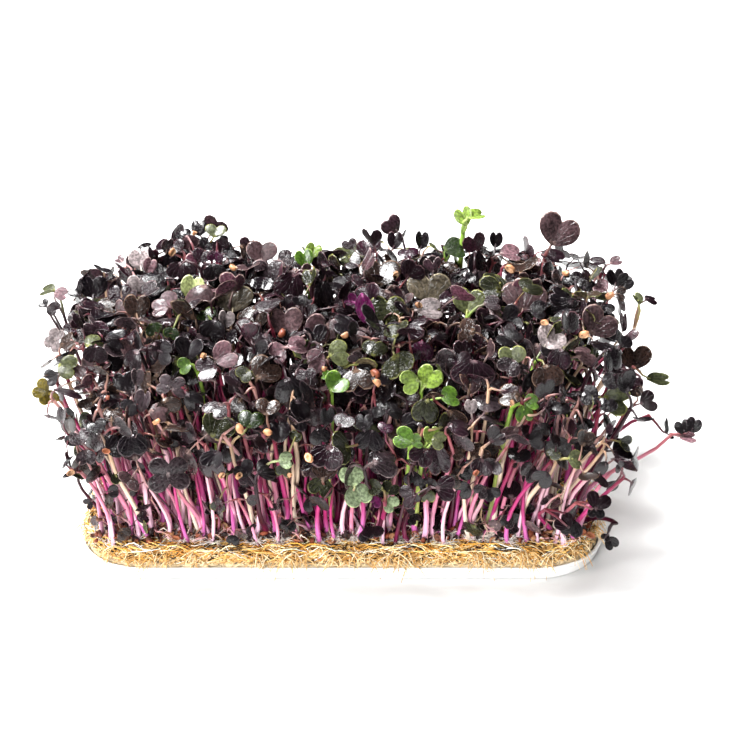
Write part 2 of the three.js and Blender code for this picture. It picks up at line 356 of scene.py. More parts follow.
class Graph:
    """A material's nodes, with short calls for those that the finishes share."""

    def __init__(self, name: str) -> None:
        """Starts an empty material of that name."""
        self.material = bpy.data.materials.new(name)
        self.material.use_nodes = True
        self.nodes, self.links = self.material.node_tree.nodes, self.material.node_tree.links
        self.nodes.clear()

    def add(self, kind: str, inputs: dict[Any, Any] | None = None, **settings: Any) -> bpy.types.Node:
        """Adds a node.

        Args:
            kind: the node's type, without the words ShaderNode.
            inputs: what goes into each input: another node's output, or a value.
            settings: the node's own properties.

        Returns:
            The node.
        """
        node = self.nodes.new("ShaderNode" + kind)
        for key, value in settings.items():
            setattr(node, key, value)
        for key, value in (inputs or {}).items():
            if isinstance(value, Socket):
                self.links.new(value, node.inputs[key])
            else:
                node.inputs[key].default_value = value
        return node

    def sum(self, operation: str, a: Any, b: Any = 0.0, c: Any = 0.0) -> Socket:
        """One sum on numbers, by the Math node."""
        return self.add("Math", {0: a, 1: b, 2: c}, operation=operation).outputs[0]

    def ramp(self, value: Any, low: float, high: float, to_low: Any = 0.0, to_high: Any = 1.0) -> Socket:
        """Maps low..high onto to_low..to_high along a smooth step."""
        inputs = {"Value": value, "From Min": low, "From Max": high, "To Min": to_low, "To Max": to_high}
        return self.add("MapRange", inputs, interpolation_type="SMOOTHSTEP").outputs[0]

    def noise(self, scale: float, detail: float = 3.0, where: Any = None) -> Socket:
        """Noise of about 0.3 to 0.7, on the piece's own Object coordinates unless told where."""
        spot = where or self.add("TexCoord").outputs["Object"]
        return self.add("TexNoise", {"Vector": spot, "Scale": scale, "Detail": detail}).outputs[0]

    def toned(self, shade: Socket) -> Socket:
        """The point's own tone, made lighter or darker by a shade."""
        tone = self.add("Attribute", attribute_name="tone").outputs["Color"]
        grey = self.add("CombineColor", {0: shade, 1: shade, 2: shade}).outputs[0]
        return self.mix(1.0, tone, grey, "MULTIPLY")

    def mix(self, factor: Any, a: Any, b: Any, blend: str = "MIX") -> Socket:
        """Mixes two colours."""
        node = self.add("Mix", {0: factor, 6: a, 7: b}, data_type="RGBA", blend_type=blend)
        return node.outputs[2]

    def finish(self, shader: dict[str, Any], height: Any = None, relief: float = 0.0002) -> Material:
        """Ends in one Principled shader.

        Args:
            shader: what goes into the shader's inputs.
            height: the height that the bump is made of, from 0 to 1.
            relief: how deep that height is, in metres.

        Returns:
            The material.
        """
        principled = self.add("BsdfPrincipled", shader)
        if height is not None:
            bump = self.add("Bump", {"Height": height, "Distance": relief, "Strength": 1.0})
            self.links.new(bump.outputs[0], principled.inputs["Normal"])
        out = self.add("OutputMaterial")
        self.links.new(principled.outputs[0], out.inputs[0])
        return self.material


@dataclass(frozen=True)
class LeafFinish:
    """Seed leaf skin: the point's own tone, mottled, with paler veins that fan out from the base
    and a net of fine ones between them, crinkled, and glossier in some patches than in others.
    Veins is how many fan out over a radian, grain and patch are the scales of the mottling and of
    the gloss, and relief is in metres."""

    name: str = "leaf_skin"
    veins: float = 4.2
    vein_width: float = 0.09
    vein_colour: Colour = (0.26, 0.20, 0.21)
    vein_strength: float = 0.045
    grain: float = 1150.0
    patch: float = 48.0
    relief: float = 0.0003

    def material(self) -> Material:
        """Makes the material."""
        g = Graph(self.name)
        uv = g.add("UVMap", uv_map="pattern").outputs[0]
        split = g.add("SeparateXYZ", {0: uv})
        across = g.sum("SUBTRACT", split.outputs[0], 0.5)
        sway = g.sum("MULTIPLY", g.sum("SUBTRACT", g.noise(7.0, 2.0, uv), 0.5), 0.55)
        angle = g.sum("ARCTAN2", across, g.sum("ADD", split.outputs[1], 0.03))
        fan = g.sum("PINGPONG", g.sum("ADD", g.sum("MULTIPLY", angle, self.veins), sway), 0.5)
        thin = g.ramp(split.outputs[1], 0.0, 1.0, self.vein_width * 1.4, self.vein_width * 0.7)
        fans = g.sum("SUBTRACT", 1.0, g.ramp(g.sum("DIVIDE", fan, thin), 0.25, 1.0))
        cells = g.add("TexVoronoi", {"Vector": uv, "Scale": 11.0}, feature="DISTANCE_TO_EDGE").outputs[0]
        net = g.sum("SUBTRACT", 1.0, g.ramp(cells, 0.0, 0.11))
        veins = g.sum("MAXIMUM", fans, g.sum("MULTIPLY", net, 0.38))
        speck = g.ramp(g.noise(self.grain, 3.0), 0.36, 0.64, 0.5, 1.28)
        shade = g.sum("MULTIPLY", speck, g.ramp(g.noise(230.0, 3.0), 0.3, 0.7, 0.72, 1.32))
        paler = g.sum("MULTIPLY", veins, self.vein_strength)
        colour = g.mix(paler, g.toned(shade), (*self.vein_colour, 1))
        rough = g.ramp(g.noise(self.patch, 1.0), 0.4, 0.62, 0.12, 0.27)
        crinkle = g.sum("MULTIPLY", g.noise(190.0, 2.0), 1.1)
        pores = g.sum("MULTIPLY", g.noise(1100.0, 2.0), 0.12)
        height = g.sum("ADD", g.sum("MULTIPLY", veins, -0.22), g.sum("ADD", crinkle, pores))
        skin = {"Base Color": colour, "Roughness": rough, "IOR": 1.47, "Specular IOR Level": 0.46}
        return g.finish(skin, height, self.relief)


@dataclass(frozen=True)
class StemFinish:
    """Juicy stem skin: the point's own tone with fine streaks along it, and a moist gloss."""

    name: str = "stem_skin"

    def material(self) -> Material:
        """Makes the material."""
        g = Graph(self.name)
        uv = g.add("UVMap", uv_map="pattern").outputs[0]
        drawn = g.add("Mapping", {"Vector": uv, "Scale": (9.0, 1.6, 1.0)}).outputs[0]
        streak = g.ramp(g.noise(1.6, 3.0, drawn), 0.3, 0.7, 0.78, 1.26)
        skin = {"Base Color": g.toned(streak), "Roughness": 0.34, "IOR": 1.42}
        return g.finish(skin, g.noise(1.6, 3.0, drawn), 0.00008)


@dataclass(frozen=True)
class FleckFinish:
    """Dry plant stuff, such as fibres, hulls and roots: the point's own tone, made lighter and
    darker by up to the share fleck, in flecks of that scale. Relief is in metres."""

    name: str
    roughness: float
    scale: float
    fleck: float
    relief: float

    def material(self) -> Material:
        """Makes the material."""
        g = Graph(self.name)
        cloud = g.noise(self.scale, 4.0)
        shade = g.ramp(cloud, 0.3, 0.7, 1 - self.fleck, 1 + self.fleck)
        return g.finish({"Base Color": g.toned(shade), "Roughness": self.roughness}, cloud, self.relief)


@dataclass(frozen=True)
class MatFinish:
    """The felted heart of the mat: golden brown, with pale crossing fibres and near-black gaps between
    them, which are painted shade; dark brown, with pale root felt, where the sprouts root, the dark
    brown being painted shade under the stand; and paler towards its foot, painted bounce light from
    the white tray. Rooted is how far along x and y, in metres."""

    name: str = "felted_fibre"
    rooted: Span = (0.0805, 0.0505)

    def material(self) -> Material:
        """Makes the material."""
        g = Graph(self.name)
        spot = g.add("TexCoord").outputs["Object"]
        bent = g.add("TexNoise", {"Vector": spot, "Scale": 160.0, "Detail": 2.0}).outputs["Color"]
        warp = g.add("VectorMath", {0: bent, 3: 0.006}, operation="SCALE").outputs[0]
        moved = g.add("VectorMath", {0: spot, 1: warp}, operation="ADD").outputs[0]
        threads = []
        for turn in ((0.3, 1.2, 0.2), (1.1, 0.4, 1.9), (0.2, 1.9, 0.9)):
            way = g.add("Mapping", {"Vector": moved, "Rotation": turn}).outputs[0]
            wave = {"Vector": way, "Scale": 260.0, "Distortion": 6.0, "Detail": 2.0}
            threads.append(g.add("TexWave", wave).outputs["Fac"])
        pile = g.sum("MAXIMUM", threads[0], g.sum("MAXIMUM", threads[1], threads[2]))
        # near-black in the hollows between the threads: painted shade
        pile_with_painted_gap_shade = g.mix(g.ramp(pile, 0.45, 1.0), (0.018, 0.007, 0.003, 1), (0.46, 0.25, 0.08, 1))
        golden = g.mix(g.ramp(g.noise(900.0, 2.0), 0.56, 0.66), pile_with_painted_gap_shade, (0.80, 0.58, 0.28, 1))
        # dark brown where the sprouts root: painted shade under the stand, with pale root felt over it
        brown = g.mix(g.ramp(g.noise(420.0, 3.0), 0.4, 0.6), (0.020, 0.010, 0.008, 1), (0.16, 0.06, 0.03, 1))
        felt = g.mix(g.ramp(g.noise(260.0, 4.0), 0.54, 0.68), brown, (0.52, 0.44, 0.38, 1))
        split = g.add("SeparateXYZ", {0: spot})
        ragged = g.sum("MULTIPLY", g.sum("SUBTRACT", g.noise(90.0, 3.0), 0.5), 0.014)
        inside = [
            g.ramp(g.sum("ADD", g.sum("ABSOLUTE", split.outputs[i]), ragged), edge, edge - 0.003)
            for i, edge in enumerate(self.rooted)
        ]
        rooted = g.sum("MULTIPLY", inside[0], inside[1])
        top = g.sum("MULTIPLY", rooted, g.ramp(split.outputs[2], 0.0098, 0.0105))
        # paler below 6.8 mm: painted bounce light from the white tray at the mat's foot
        foot = g.mix(g.ramp(split.outputs[2], 0.0068, 0.0042), golden, (0.80, 0.66, 0.44, 1))
        colour = g.mix(top, foot, felt)
        return g.finish({"Base Color": colour, "Roughness": 0.75}, pile, 0.0006)


@dataclass(frozen=True)
class PlasticFinish:
    """Thin moulded white plastic with a faint orange peel and scuffs."""

    name: str = "white_plastic"

    def material(self) -> Material:
        """Makes the material."""
        g = Graph(self.name)
        cloud = g.noise(90.0, 3.0)
        colour = g.mix(g.ramp(cloud, 0.35, 0.65), (0.86, 0.855, 0.84, 1), (0.90, 0.895, 0.885, 1))
        rough = g.ramp(g.noise(320.0, 4.0), 0.35, 0.65, 0.30, 0.42)
        return g.finish({"Base Color": colour, "Roughness": rough}, g.noise(700.0, 2.0), 0.00003)


@dataclass(frozen=True)
class FloorFinish:
    """Plain white ground."""

    name: str = "white_ground"

    def material(self) -> Material:
        """Makes the material."""
        g = Graph(self.name)
        colour = g.mix(g.ramp(g.noise(3.0, 2.0), 0.3, 0.7), (0.70, 0.70, 0.695, 1), (0.73, 0.73, 0.725, 1))
        return g.finish({"Base Color": colour, "Roughness": 0.85})


# ---------------------------------------------------------------- leaves


@dataclass(frozen=True)
class Skin:
    """A leaf's colours on the screen's scale: face, underside and rim. The rim is paler: partly the
    margin's own colour and partly a painted highlight along the edge. Slot is the record's own
    material for it."""

    face: Colour
    under: Colour
    rim: Colour
    slot: str = "purple_leaf"


class Tone(Enum):
    """How a pair of seed leaves is coloured."""

    NIGHT = Skin((8, 5, 8), (22, 10, 16), (60, 48, 52))
    PLUM = Skin((21, 9, 15), (36, 14, 24), (88, 64, 68))
    SMOKE = Skin((38, 30, 33), (44, 29, 35), (120, 102, 102))
    MAUVE = Skin((84, 61, 66), (82, 48, 60), (162, 136, 134), "mauve_leaf")
    DUSK = Skin((62, 46, 48), (60, 36, 44), (142, 118, 112))
    PRUNE = Skin((36, 7, 25), (50, 11, 34), (94, 50, 68), "mauve_leaf")
    VIOLET = Skin((62, 6, 46), (84, 12, 64), (130, 62, 106), "mauve_leaf")
    BROWN = Skin((36, 25, 21), (44, 24, 25), (116, 92, 76))
    ASH = Skin((60, 54, 44), (62, 52, 46), (138, 128, 106), "olive_leaf")
    PALE = Skin((112, 102, 102), (92, 76, 80), (176, 162, 158), "mauve_leaf")
    SAGE = Skin((104, 116, 88), (92, 98, 76), (168, 184, 130), "olive_leaf")
    OLIVE = Skin((28, 30, 17), (46, 36, 28), (118, 118, 68), "olive_leaf")
    MOSS = Skin((63, 67, 43), (78, 68, 50), (156, 158, 90), "olive_leaf")
    FERN = Skin((24, 36, 15), (42, 50, 24), (98, 114, 58), "green_leaf")
    GREEN = Skin((60, 88, 25), (74, 104, 36), (142, 168, 84), "green_leaf")
    LIME = Skin((94, 114, 44), (110, 138, 60), (178, 194, 118), "green_leaf")
    CREAM = Skin((160, 170, 112), (150, 158, 106), (208, 212, 160), "green_leaf")
    AMBER = Skin((76, 66, 16), (88, 72, 24), (138, 130, 46), "olive_leaf")


class StemTone(Enum):
    """How a stem is coloured at its foot, middle and head."""

    MAGENTA = ((200, 110, 176), (158, 42, 98), (96, 30, 44))
    ROSE = ((222, 170, 198), (198, 120, 144), (134, 70, 72))
    BLUSH = ((216, 178, 198), (214, 168, 180), (160, 116, 108))
    CREAM = ((214, 204, 190), (202, 180, 158), (166, 134, 108))
    # dark wine red: a stem colour of its own, also drawn for most inner stems as painted shade
    WINE = ((104, 20, 60), (54, 8, 25), (28, 9, 15))
    LEAFY = ((198, 206, 142), (176, 194, 98), (120, 152, 58))


@dataclass
class Blade:
    """One seed leaf: where its base is, which way it lies, and how it is cut and bent."""

    base: Array
    across: Array
    along: Array
    normal: Array
    length: float
    width: float
    notch: float
    fold: float
    puff: float
    arch: float
    wave: float
    phase: float
    tone: Tone
    fine: bool = False
    # painted shade: a factor that darkens the colours of a leaf that opens deep in the stand
    shade: float = 1.0


BLADE_FIELDS = (
    "base", "across", "along", "normal", "length", "width", "notch", "fold", "puff", "arch", "wave", "phase",
)


def reach_of(angle: Array, notch: Any) -> Array:
    """How far a blade of length one reaches along a ray at an angle a from its midrib:
    (1 - (a / 78°)^2.6)^0.85 (1 - notch e^(-a / 11°)), which draws the two lobes and the notch."""
    share = np.abs(angle) / np.radians(78)
    return (1 - share**2.6) ** 0.85 * (1 - notch * np.exp(-np.abs(angle) / np.radians(11)))


def ray_angles(columns: int) -> Array:
    """The angles, from -76° to 76°, of the rays that cut the outline into pieces of one length."""
    angle = np.radians(np.linspace(0, 76, 400))
    reach = reach_of(angle, 0.24)
    line = np.stack([reach * np.sin(angle), reach * np.cos(angle)], -1)
    run = np.concatenate([[0.0], np.cumsum(np.linalg.norm(np.diff(line, axis=0), axis=1))])
    half = np.interp(np.linspace(0, run[-1], columns // 2 + 1), run, angle)
    return np.concatenate([-half[:0:-1], half])


def blade_sheet(b: dict[str, Array], columns: int, steps: Array) -> Pair:
    """The upper face of many blades on a grid of rays and steps.

    Each ray leaves the base at its own angle and ends where reach_of says, times the length. With w
    for x over half the width, height is
    fold (√(x² + 1) - 1) + puff length |w| (1 - w²) - arch y² / length + a wave that grows towards
    the rim.

    Args:
        b: the blades' fields as arrays of N, or N by 3.
        columns: spaces between rays.
        steps: (K,) shares of the way from base to rim.

    Returns:
        (N, K, columns + 1, 3) points, and the (K, columns + 1, 2) pattern of places, from 0 to 1.
    """
    base, across, along, normal, length, width, notch, fold, puff, arch, wave, phase = (
        b[key][:, None, None] for key in BLADE_FIELDS)
    angle = ray_angles(columns)
    outline, v = reach_of(angle, 0.0), steps[None, :, None]
    reach = length * reach_of(angle, notch)
    full = 2 * (outline * np.sin(angle)).max()
    x = reach * v * np.sin(angle) * (width / (full * length))
    y = reach * v * np.cos(angle)
    w = np.abs(x) * 2 / width
    z = fold * (np.sqrt(x * x + 1) - 1) + puff * length * w * (1 - w * w) - arch * y * y / length
    z = z + wave * length * v**3 * np.sin(3.4 * angle + phase)
    points = base + x[..., None] * across + y[..., None] * along + z[..., None] * normal
    v = steps[:, None]
    return points, np.stack([0.5 + 0.78 * v * outline * np.sin(angle), v * outline * np.cos(angle)], -1)


def blade_fields(blades: list[Blade]) -> dict[str, Array]:
    """The blades' sizes and directions as arrays."""
    return {key: np.array([getattr(b, key) for b in blades], float) for key in BLADE_FIELDS}


@dataclass(frozen=True)
class BladeCut:
    """How finely blades are meshed: rays, steps from base to rim, and thickness."""

    columns: int = 14
    steps: tuple[float, ...] = (0.3, 0.64, 0.93, 1.0)
    thickness: float = 0.5

    def shell(self, blades: list[Blade]) -> Shell:
        """Closes each blade: its upper face, and an under face that meets it round the rim.

        Args:
            blades: the blades.

        Returns:
            One shell for all of them.
        """
        b = blade_fields(blades)
        steps = np.array(self.steps)
        n, k, c = len(blades), len(steps), self.columns
        top, plan = blade_sheet(b, c, steps)
        full = self.thickness * np.concatenate([[0.9], 1 - steps[1:-1] ** 3])[:, None, None]
        inner = top[:, :-1, 1:-1] - b["normal"][:, None, None] * full[None]
        points = np.concatenate([b["base"][:, None], top.reshape(n, -1, 3), inner.reshape(n, -1, 3)], 1)
        upper = 1 + np.arange(k * (c + 1)).reshape(k, c + 1)
        lower = upper.copy()
        lower[:-1, 1:-1] = 1 + upper[-1, -1] + np.arange((k - 1) * (c - 1)).reshape(k - 1, c - 1)
        face, under, rim = (
            linear([getattr(blade.tone.value, part) for blade in blades])[:, None]
            for part in ("face", "under", "rim"))
        # each leaf's colours vary at random with its age, times its painted shade
        age_and_painted_shade = ((1 + 0.3 * np.sin(b["phase"] * 7)) * np.array([s.shade for s in blades]))[:, None, None]
        tone = np.repeat(under * age_and_painted_shade, points.shape[1], 1)
        tone[:, : 1 + k * (c + 1)] = face * age_and_painted_shade
        # rim, sides and base point take the rim tone: partly the margin's colour, partly painted highlight
        for edge in (upper[-1], upper[:, 0], upper[:, -1], [0]):
            tone[:, edge] = rim

        def faces(grid: Array, pole: Array) -> list[Array]:
            """The corners of the triangles round the pole and of the quads beyond them."""
            fan = np.stack([pole, grid[0, 1:], grid[0, :-1]], 1)
            rest = np.stack([grid[:-1, :-1], grid[:-1, 1:], grid[1:, 1:], grid[1:, :-1]], 2)
            return [fan, rest.reshape(-1, *rest.shape[2:])]

        over, beneath = (faces(rows, np.zeros(c, int)) for rows in (upper, lower))
        tris, quads = (np.concatenate([a, z[:, ::-1]]) for a, z in zip(over, beneath))
        foot = np.tile([0.5, 0.0], (c, 1))
        drawn = [np.concatenate([at, at[:, ::-1]]).reshape(-1, 2) for at in faces(plan, foot)]
        halves = np.array([[0.005, 0.0], [0.505, 0.0]])  # each face has its own half of the cell
        nest = tuple(at * np.array([0.49, 0.98]) + np.repeat(halves, len(at) // 2, axis=0) for at in drawn)
        return Shell.repeated(points, tone, tris, quads, tuple(drawn), nest)


# ---------------------------------------------------------------- sprouts


@dataclass(frozen=True)
class Bearing:
    """How a pair of leaves is held: the tips' rise in degrees, and the ranges of fold and arch."""

    tip: float
    fold: Span
    arch: Span


class Habit(Enum):
    """The stages that a pair of seed leaves goes through as it opens."""

    OPEN = Bearing(-4, (-0.12, 0.34), (-0.05, 0.45))
    HOODED = Bearing(-34, (-0.75, -0.35), (0.5, 1.0))
    CUPPED = Bearing(28, (0.35, 0.8), (-0.7, -0.1))


@dataclass(frozen=True)
class Carriage:
    """How drawn pairs of leaves are carried and cut: spans of even draws, and spreads of normal ones.

    A head's axis is upright, pulled outwards by the light and towards the front, and scattered. A
    leaf swings off its side of the head, its stalk rises by so many degrees and reaches so far, its
    tip and its roll spread by so many degrees, the second leaf has a share of the first one's width,
    squat is length over width, and notch, puff and wave shape it.
    """

    upright: float = 0.8
    light: Span = (0.4, 1.5)
    front: float = 0.26
    front_span: Span = (0.0, 1.6)
    scatter: float = 0.4
    swing: float = 0.30
    rise: Span = (8, 55)
    reach: Span = (2.5, 6.0)
    tip: float = 22
    roll: float = 18
    second: Span = (0.68, 0.95)
    squat: Span = (0.74, 0.88)
    notch: Span = (0.16, 0.4)
    puff: Span = (0.02, 0.2)
    wave: Span = (0.0, 0.035)


@dataclass
class Sprout:
    """One plant: the line of its stem and its seed leaves."""

    root: Array
    head: Array
    axis: Array
    kink: Array
    radius: float
    tone: StemTone
    blades: list[Blade] = field(default_factory=list)


@dataclass
class Room:
    """The air over the tray in small cubes, each with a count of what is already there. Low and
    high are its corners, and cube a cube's side."""

    low: Spot = (-135.0, -85.0, 0.0)
    high: Spot = (135.0, 85.0, 110.0)
    cube: float = 1.4

    def __post_init__(self) -> None:
        """Starts with empty air."""
        self.size = tuple(int((h - l) / self.cube) + 1 for l, h in zip(self.low, self.high))
        self.count = np.zeros(self.size, np.int16)

    def cells(self, points: Array) -> tuple[Array, ...]:
        """The cube that each point lies in, held to the room."""
        spot = ((points - np.array(self.low)) / self.cube).astype(int)
        return tuple(np.clip(spot[..., i], 0, self.size[i] - 1) for i in range(3))

    def crowd(self, points: Array) -> Array:
        """How much already lies where the points are, summed over all but their first axis."""
        taken = np.minimum(self.count[self.cells(points)], 3)
        return taken.reshape(len(points), -1).sum(1)

    def fill(self, points: Array, weight: int = 1) -> None:
        """Marks the points' cubes as taken."""
        np.add.at(self.count, tuple(c.ravel() for c in self.cells(points)), weight)


@dataclass(frozen=True)
class Sight:
    """The view from the front: where the eye is, how far it looks down, and its lens. Places in
    the view are counted across and down from its top left corner, which is 736 each way."""

    eye: Spot = (8.9, -544.4, 304.1)
    down: float = 25.0
    lens: float = 85.0
    sensor: float = 36.0
    side: float = 736.0

    @property
    def focal(self) -> float:
        """The lens's length, as the view is measured."""
        return self.lens / self.sensor * self.side

    @property
    def ahead(self) -> Array:
        """The way that the eye looks."""
        return np.array([0, math.cos(math.radians(self.down)), -math.sin(math.radians(self.down))])

    @property
    def up(self) -> Array:
        """The way that goes up in the view."""
        return np.array([0, math.sin(math.radians(self.down)), math.cos(math.radians(self.down))])

    def ray(self, across: float, down: float) -> Array:
        """The line of sight through a place in the view, one millimetre long towards the back:
        ahead + across / focal right - down / focal up, over its own y."""
        right = np.array([1.0, 0, 0]) * (across - self.side / 2) / self.focal
        line = self.ahead + right - self.up * (down - self.side / 2) / self.focal
        return line / line[1]

    def at(self, across: float, down: float, y: Any) -> Array:
        """Where the line of sight through a place in the view meets the upright plane at y."""
        return np.array(self.eye) + self.ray(across, down) * (np.asarray(y, float)[..., None] - self.eye[1])

    def seen(self, point: Array) -> tuple[Any, Any]:
        """The place in the view of a point or of each of an array of points."""
        off = np.asarray(point, float) - np.array(self.eye)
        away = off @ self.ahead
        half = self.side / 2
        return half + self.focal * off[..., 0] / away, half - self.focal * (off @ self.up) / away

    def size(self, point: Array, seen: float) -> float:
        """The real width of what looks so wide in the view at that point."""
        return seen * ((point - np.array(self.eye)) @ self.ahead) / self.focal


@dataclass(frozen=True)
class Leaf:
    """A leaf that is told apart: its middle's place in the view, its width there, the way that its
    tip points (0 up, 90 right), its tone, and how it faces: 25 towards the eye, 90 straight up,
    with pan to the right. Deep is the y that it stands at, or None for the stand's surface."""

    across: float
    down: float
    wide: float
    turn: float = 0.0
    tone: Tone = Tone.NIGHT
    face: float = 38.0
    pan: float = 0.0
    fold: float = 0.12
    arch: float = 0.12
    long: float = 0.8
    deep: float | None = None


@dataclass(frozen=True)
class Plant:
    """A sprout that is told apart: its one or two leaves, its stem's tone, where it roots and
    carries its head, how stout it is, and how many thirtieths of it show under its head."""

    leaves: tuple[Leaf, ...]
    stem: StemTone = StemTone.WINE
    node: str | None = None
    root: tuple[float, float] | None = None
    head: Spot | None = None
    stout: float = 1.0
    shown: int = 6


# The stand's ends in the view: how far left and right it reaches at each height.
ENDS = (
    (240, 150, 566), (262, 96, 628), (284, 46, 640), (300, 38, 646), (350, 42, 652), (380, 38, 656),
    (404, 44, 656), (414, 62, 650), (440, 64, 646), (480, 72, 634), (520, 84, 614), (560, 90, 602),
)

# The stand's skyline: places in the view.
SKYLINE = (
    (36, 300), (60, 286), (80, 276), (100, 270), (118, 258), (135, 248), (150, 250), (165, 242),
    (180, 234), (195, 222), (206, 222), (226, 236), (242, 246), (260, 240), (300, 240), (322, 241),
    (342, 237), (362, 244), (382, 236), (400, 229), (420, 231), (438, 240), (470, 240), (492, 233),
    (508, 240), (540, 245), (562, 253), (580, 262), (620, 264), (640, 294), (656, 312), (680, 400),
)


def ends_at(down: Any) -> Pair:
    """How far left and right the stand reaches at places down the view."""
    height, left, right = zip(*ENDS)
    return np.interp(down, height, left), np.interp(down, height, right)


@dataclass
class Stand:
    """The whole stand of sprouts: where they root, how tall they grow, and how their heads turn
    to the light at the stand's rim. Small is how many small ones grow under the others.

    Drops are how much lower the crown is at the ends, the front and the back. Spread is how much
    further out heads are than roots, and rooting how far roots reach past their patches' grid. Low
    share is each row's part of short sprouts, whose height is a share of the crown's, and uneven the
    spread of the others' heights. Leaves are spans of widths, stems of radii, and closed size is the
    share of its size that a leaf shows before it opens. Leaf rise is how far leaves stand above the
    crown, and overlap cost what it costs a drawn leaf to stand before a told one.
    """

    half_length: float = 78.0
    half_depth: float = 48.5
    columns: int = 8
    rows: int = 4
    sprouts_in_row: tuple[int, ...] = (28, 21, 21, 30)
    small: int = 64
    mat_top: float = 11.6
    crown: float = 70.5
    drops: tuple[float, float, float] = (5.0, 17.0, -3.5)
    spread: Span = (1.14, 1.05)
    rooting: Span = (1.02, 1.09)
    jitter: float = 0.42
    low_share: tuple[float, ...] = (0.44, 0.2, 0.2, 0.5)
    carriage: Carriage = Carriage()
    short_leaf: Span = (5.6, 9.0)
    tall_leaf: Span = (7.8, 12.6)
    closed_size: float = 0.85
    short_height: Span = (0.5, 0.92)
    uneven: float = 3.2
    habit_odds: tuple[float, ...] = (0.46, 0.3, 0.24)
    inner_stem: Span = (0.52, 0.84)
    front_stem: Span = (0.66, 1.12)
    told_stem: Span = (0.8, 1.1)
    leaf_rise: float = 4.5
    overlap_cost: float = 2.5
    tries: int = 28
    seed: int = 5
    sight: Sight = Sight()

    def __post_init__(self) -> None:
        """Starts the seeded draws and the empty room."""
        self.rng = np.random.default_rng(self.seed)
        self.room, self.kept = Room(), Room()
        self.clumps: dict[str, list[Sprout]] = {}

    def outward(self, x: float, y: float) -> Array:
        """Which way is out of the stand, and how strongly: nothing in the middle, and 1 at 1.12 times
        its half size, by a power of the way out that is steeper along the tray than across it."""
        ex, ey = x / (self.half_length * 1.12), y / (self.half_depth * 1.12)
        return np.array([ex * abs(ex) ** 2.2, ey * abs(ey) ** 1.2, 0.0])

    def crown_over(self, x: Any, y: Any) -> Any:
        """How high the heads stand at x, y: the crown, less its drops towards the ends, the front
        and the back, which grow with the fourth power of the way out."""
        ex, ey = np.abs(x) / (self.half_length * self.spread[0]), y / (self.half_depth * self.spread[1])
        ends, front, back = self.drops
        return self.crown - ends * ex**4 - np.where(ey < 0, front, back) * ey**4

    def under_sky(self, head: Array, room: float) -> Array:
        """Lowers a head until the leaves on it stay under the skyline, as seen from the front, and
        moves it in from beyond the stand's ends, where 3 in the view is a millimetre."""
        head = head.copy()
        for _ in range(12):
            across, down = self.sight.seen(head)
            if down - room > np.interp(across, *zip(*SKYLINE)):
                break
            head[2] -= 1.5
        across, down = self.sight.seen(head)
        left, right = ends_at(down)
        head[0] += (max(left + room - across, 0) - max(across + room - right, 0)) / 3
        return head

    def head_over(self, x: float, y: float, low: bool) -> Array:
        """Where a sprout that roots at x, y carries its head.

        Heads stand a bit further out than roots.

        Args:
            x: the root's place along the tray.
            y: the root's place across it.
            low: whether this is one of the short ones that stay under the others.

        Returns:
            The head's place.
        """
        rng = self.rng
        x, y = x * self.spread[0], y * self.spread[1]
        top = float(self.crown_over(x, y))
        share = rng.uniform(*self.short_height)
        tall = self.mat_top + (top - self.mat_top) * share if low else top + self.uneven * rng.normal() - 1.0
        sway = np.clip(rng.normal(size=2), -1.6, 1.6) * (3.0 if low else 4.2)
        return np.array([x + sway[0], y + sway[1], min(tall, self.crown + 7)])

    def heads(self, head: Array, size: float, habit: Bearing) -> dict[str, Array]:
        """Several ways to carry a pair of seed leaves on one head, as arrays of blades.

        The head's axis is up plus the pull of the light, and each blade lies nearly square to it,
        on opposite sides, tipped and rolled a little.

        Args:
            head: where the stem ends.
            size: the width of the bigger leaf.
            habit: how the pair is held and bent.

        Returns:
            The blades' fields, two after another for each way, and the axis of each way.
        """
        rng, n, way = self.rng, self.tries, self.carriage
        front = np.array([0.0, -way.front, 0.0]) * rng.uniform(*way.front_span, (n, 1))
        pull = self.outward(head[0], head[1]) * rng.uniform(*way.light, (n, 1))
        axis = unit(UP * way.upright + pull + front + rng.normal(size=(n, 3)) * way.scatter)
        first, second = spun(axis, rng.uniform(0, 2 * math.pi, n))
        out, lie = [], []
        for side in (1, -1):
            swing = rng.normal(0, way.swing, (n, 1))
            away = unit(first * side * np.cos(swing) + second * np.sin(swing))
            rise = np.radians(rng.uniform(*way.rise, (n, 1)))
            reach = rng.uniform(*way.reach, (n, 1))
            out.append(head + reach * (away * np.cos(rise) + axis * np.sin(rise)))
            tip = np.radians(rng.normal(habit.tip, way.tip, (n, 1)))
            along = unit(away * np.cos(tip) + axis * np.sin(tip))
            cross = unit(np.cross(along, axis))
            roll = np.radians(rng.normal(0, way.roll, (n, 1)))
            normal = np.cross(cross, along)
            across = cross * np.cos(roll) + normal * np.sin(roll)
            lie.append((across, along, np.cross(across, along)))
        both = 2 * n
        fields = {"axis": axis, "base": np.stack(out, 1).reshape(both, 3)}
        for i, key in enumerate(("across", "along", "normal")):
            fields[key] = np.stack([lie[0][i], lie[1][i]], 1).reshape(both, 3)
        fields["width"] = size * np.tile([1.0, rng.uniform(*way.second)], n)
        fields["length"] = fields["width"] * rng.uniform(*way.squat, both)
        spans = {"notch": way.notch, "fold": habit.fold, "puff": way.puff, "arch": habit.arch,
                 "wave": way.wave, "phase": (0, 2 * math.pi)}
        return fields | {key: rng.uniform(*span, both) for key, span in spans.items()}

    def shade(self, head: Array) -> float:
        """Painted shade for leaves that open inside the stand: a factor on their colours, 1 at its outside,
        down to 0.2 from 10 mm under the crown and away from the sides."""
        under = float(self.crown_over(head[0], head[1])) - head[2]
        ends, sides = self.half_length * self.spread[0], self.half_depth * self.spread[1]
        deep = min(under, ends - abs(head[0]), sides - abs(head[1]))
        return 1 - 0.8 * float(ease(np.array((deep - 1) / 9)))

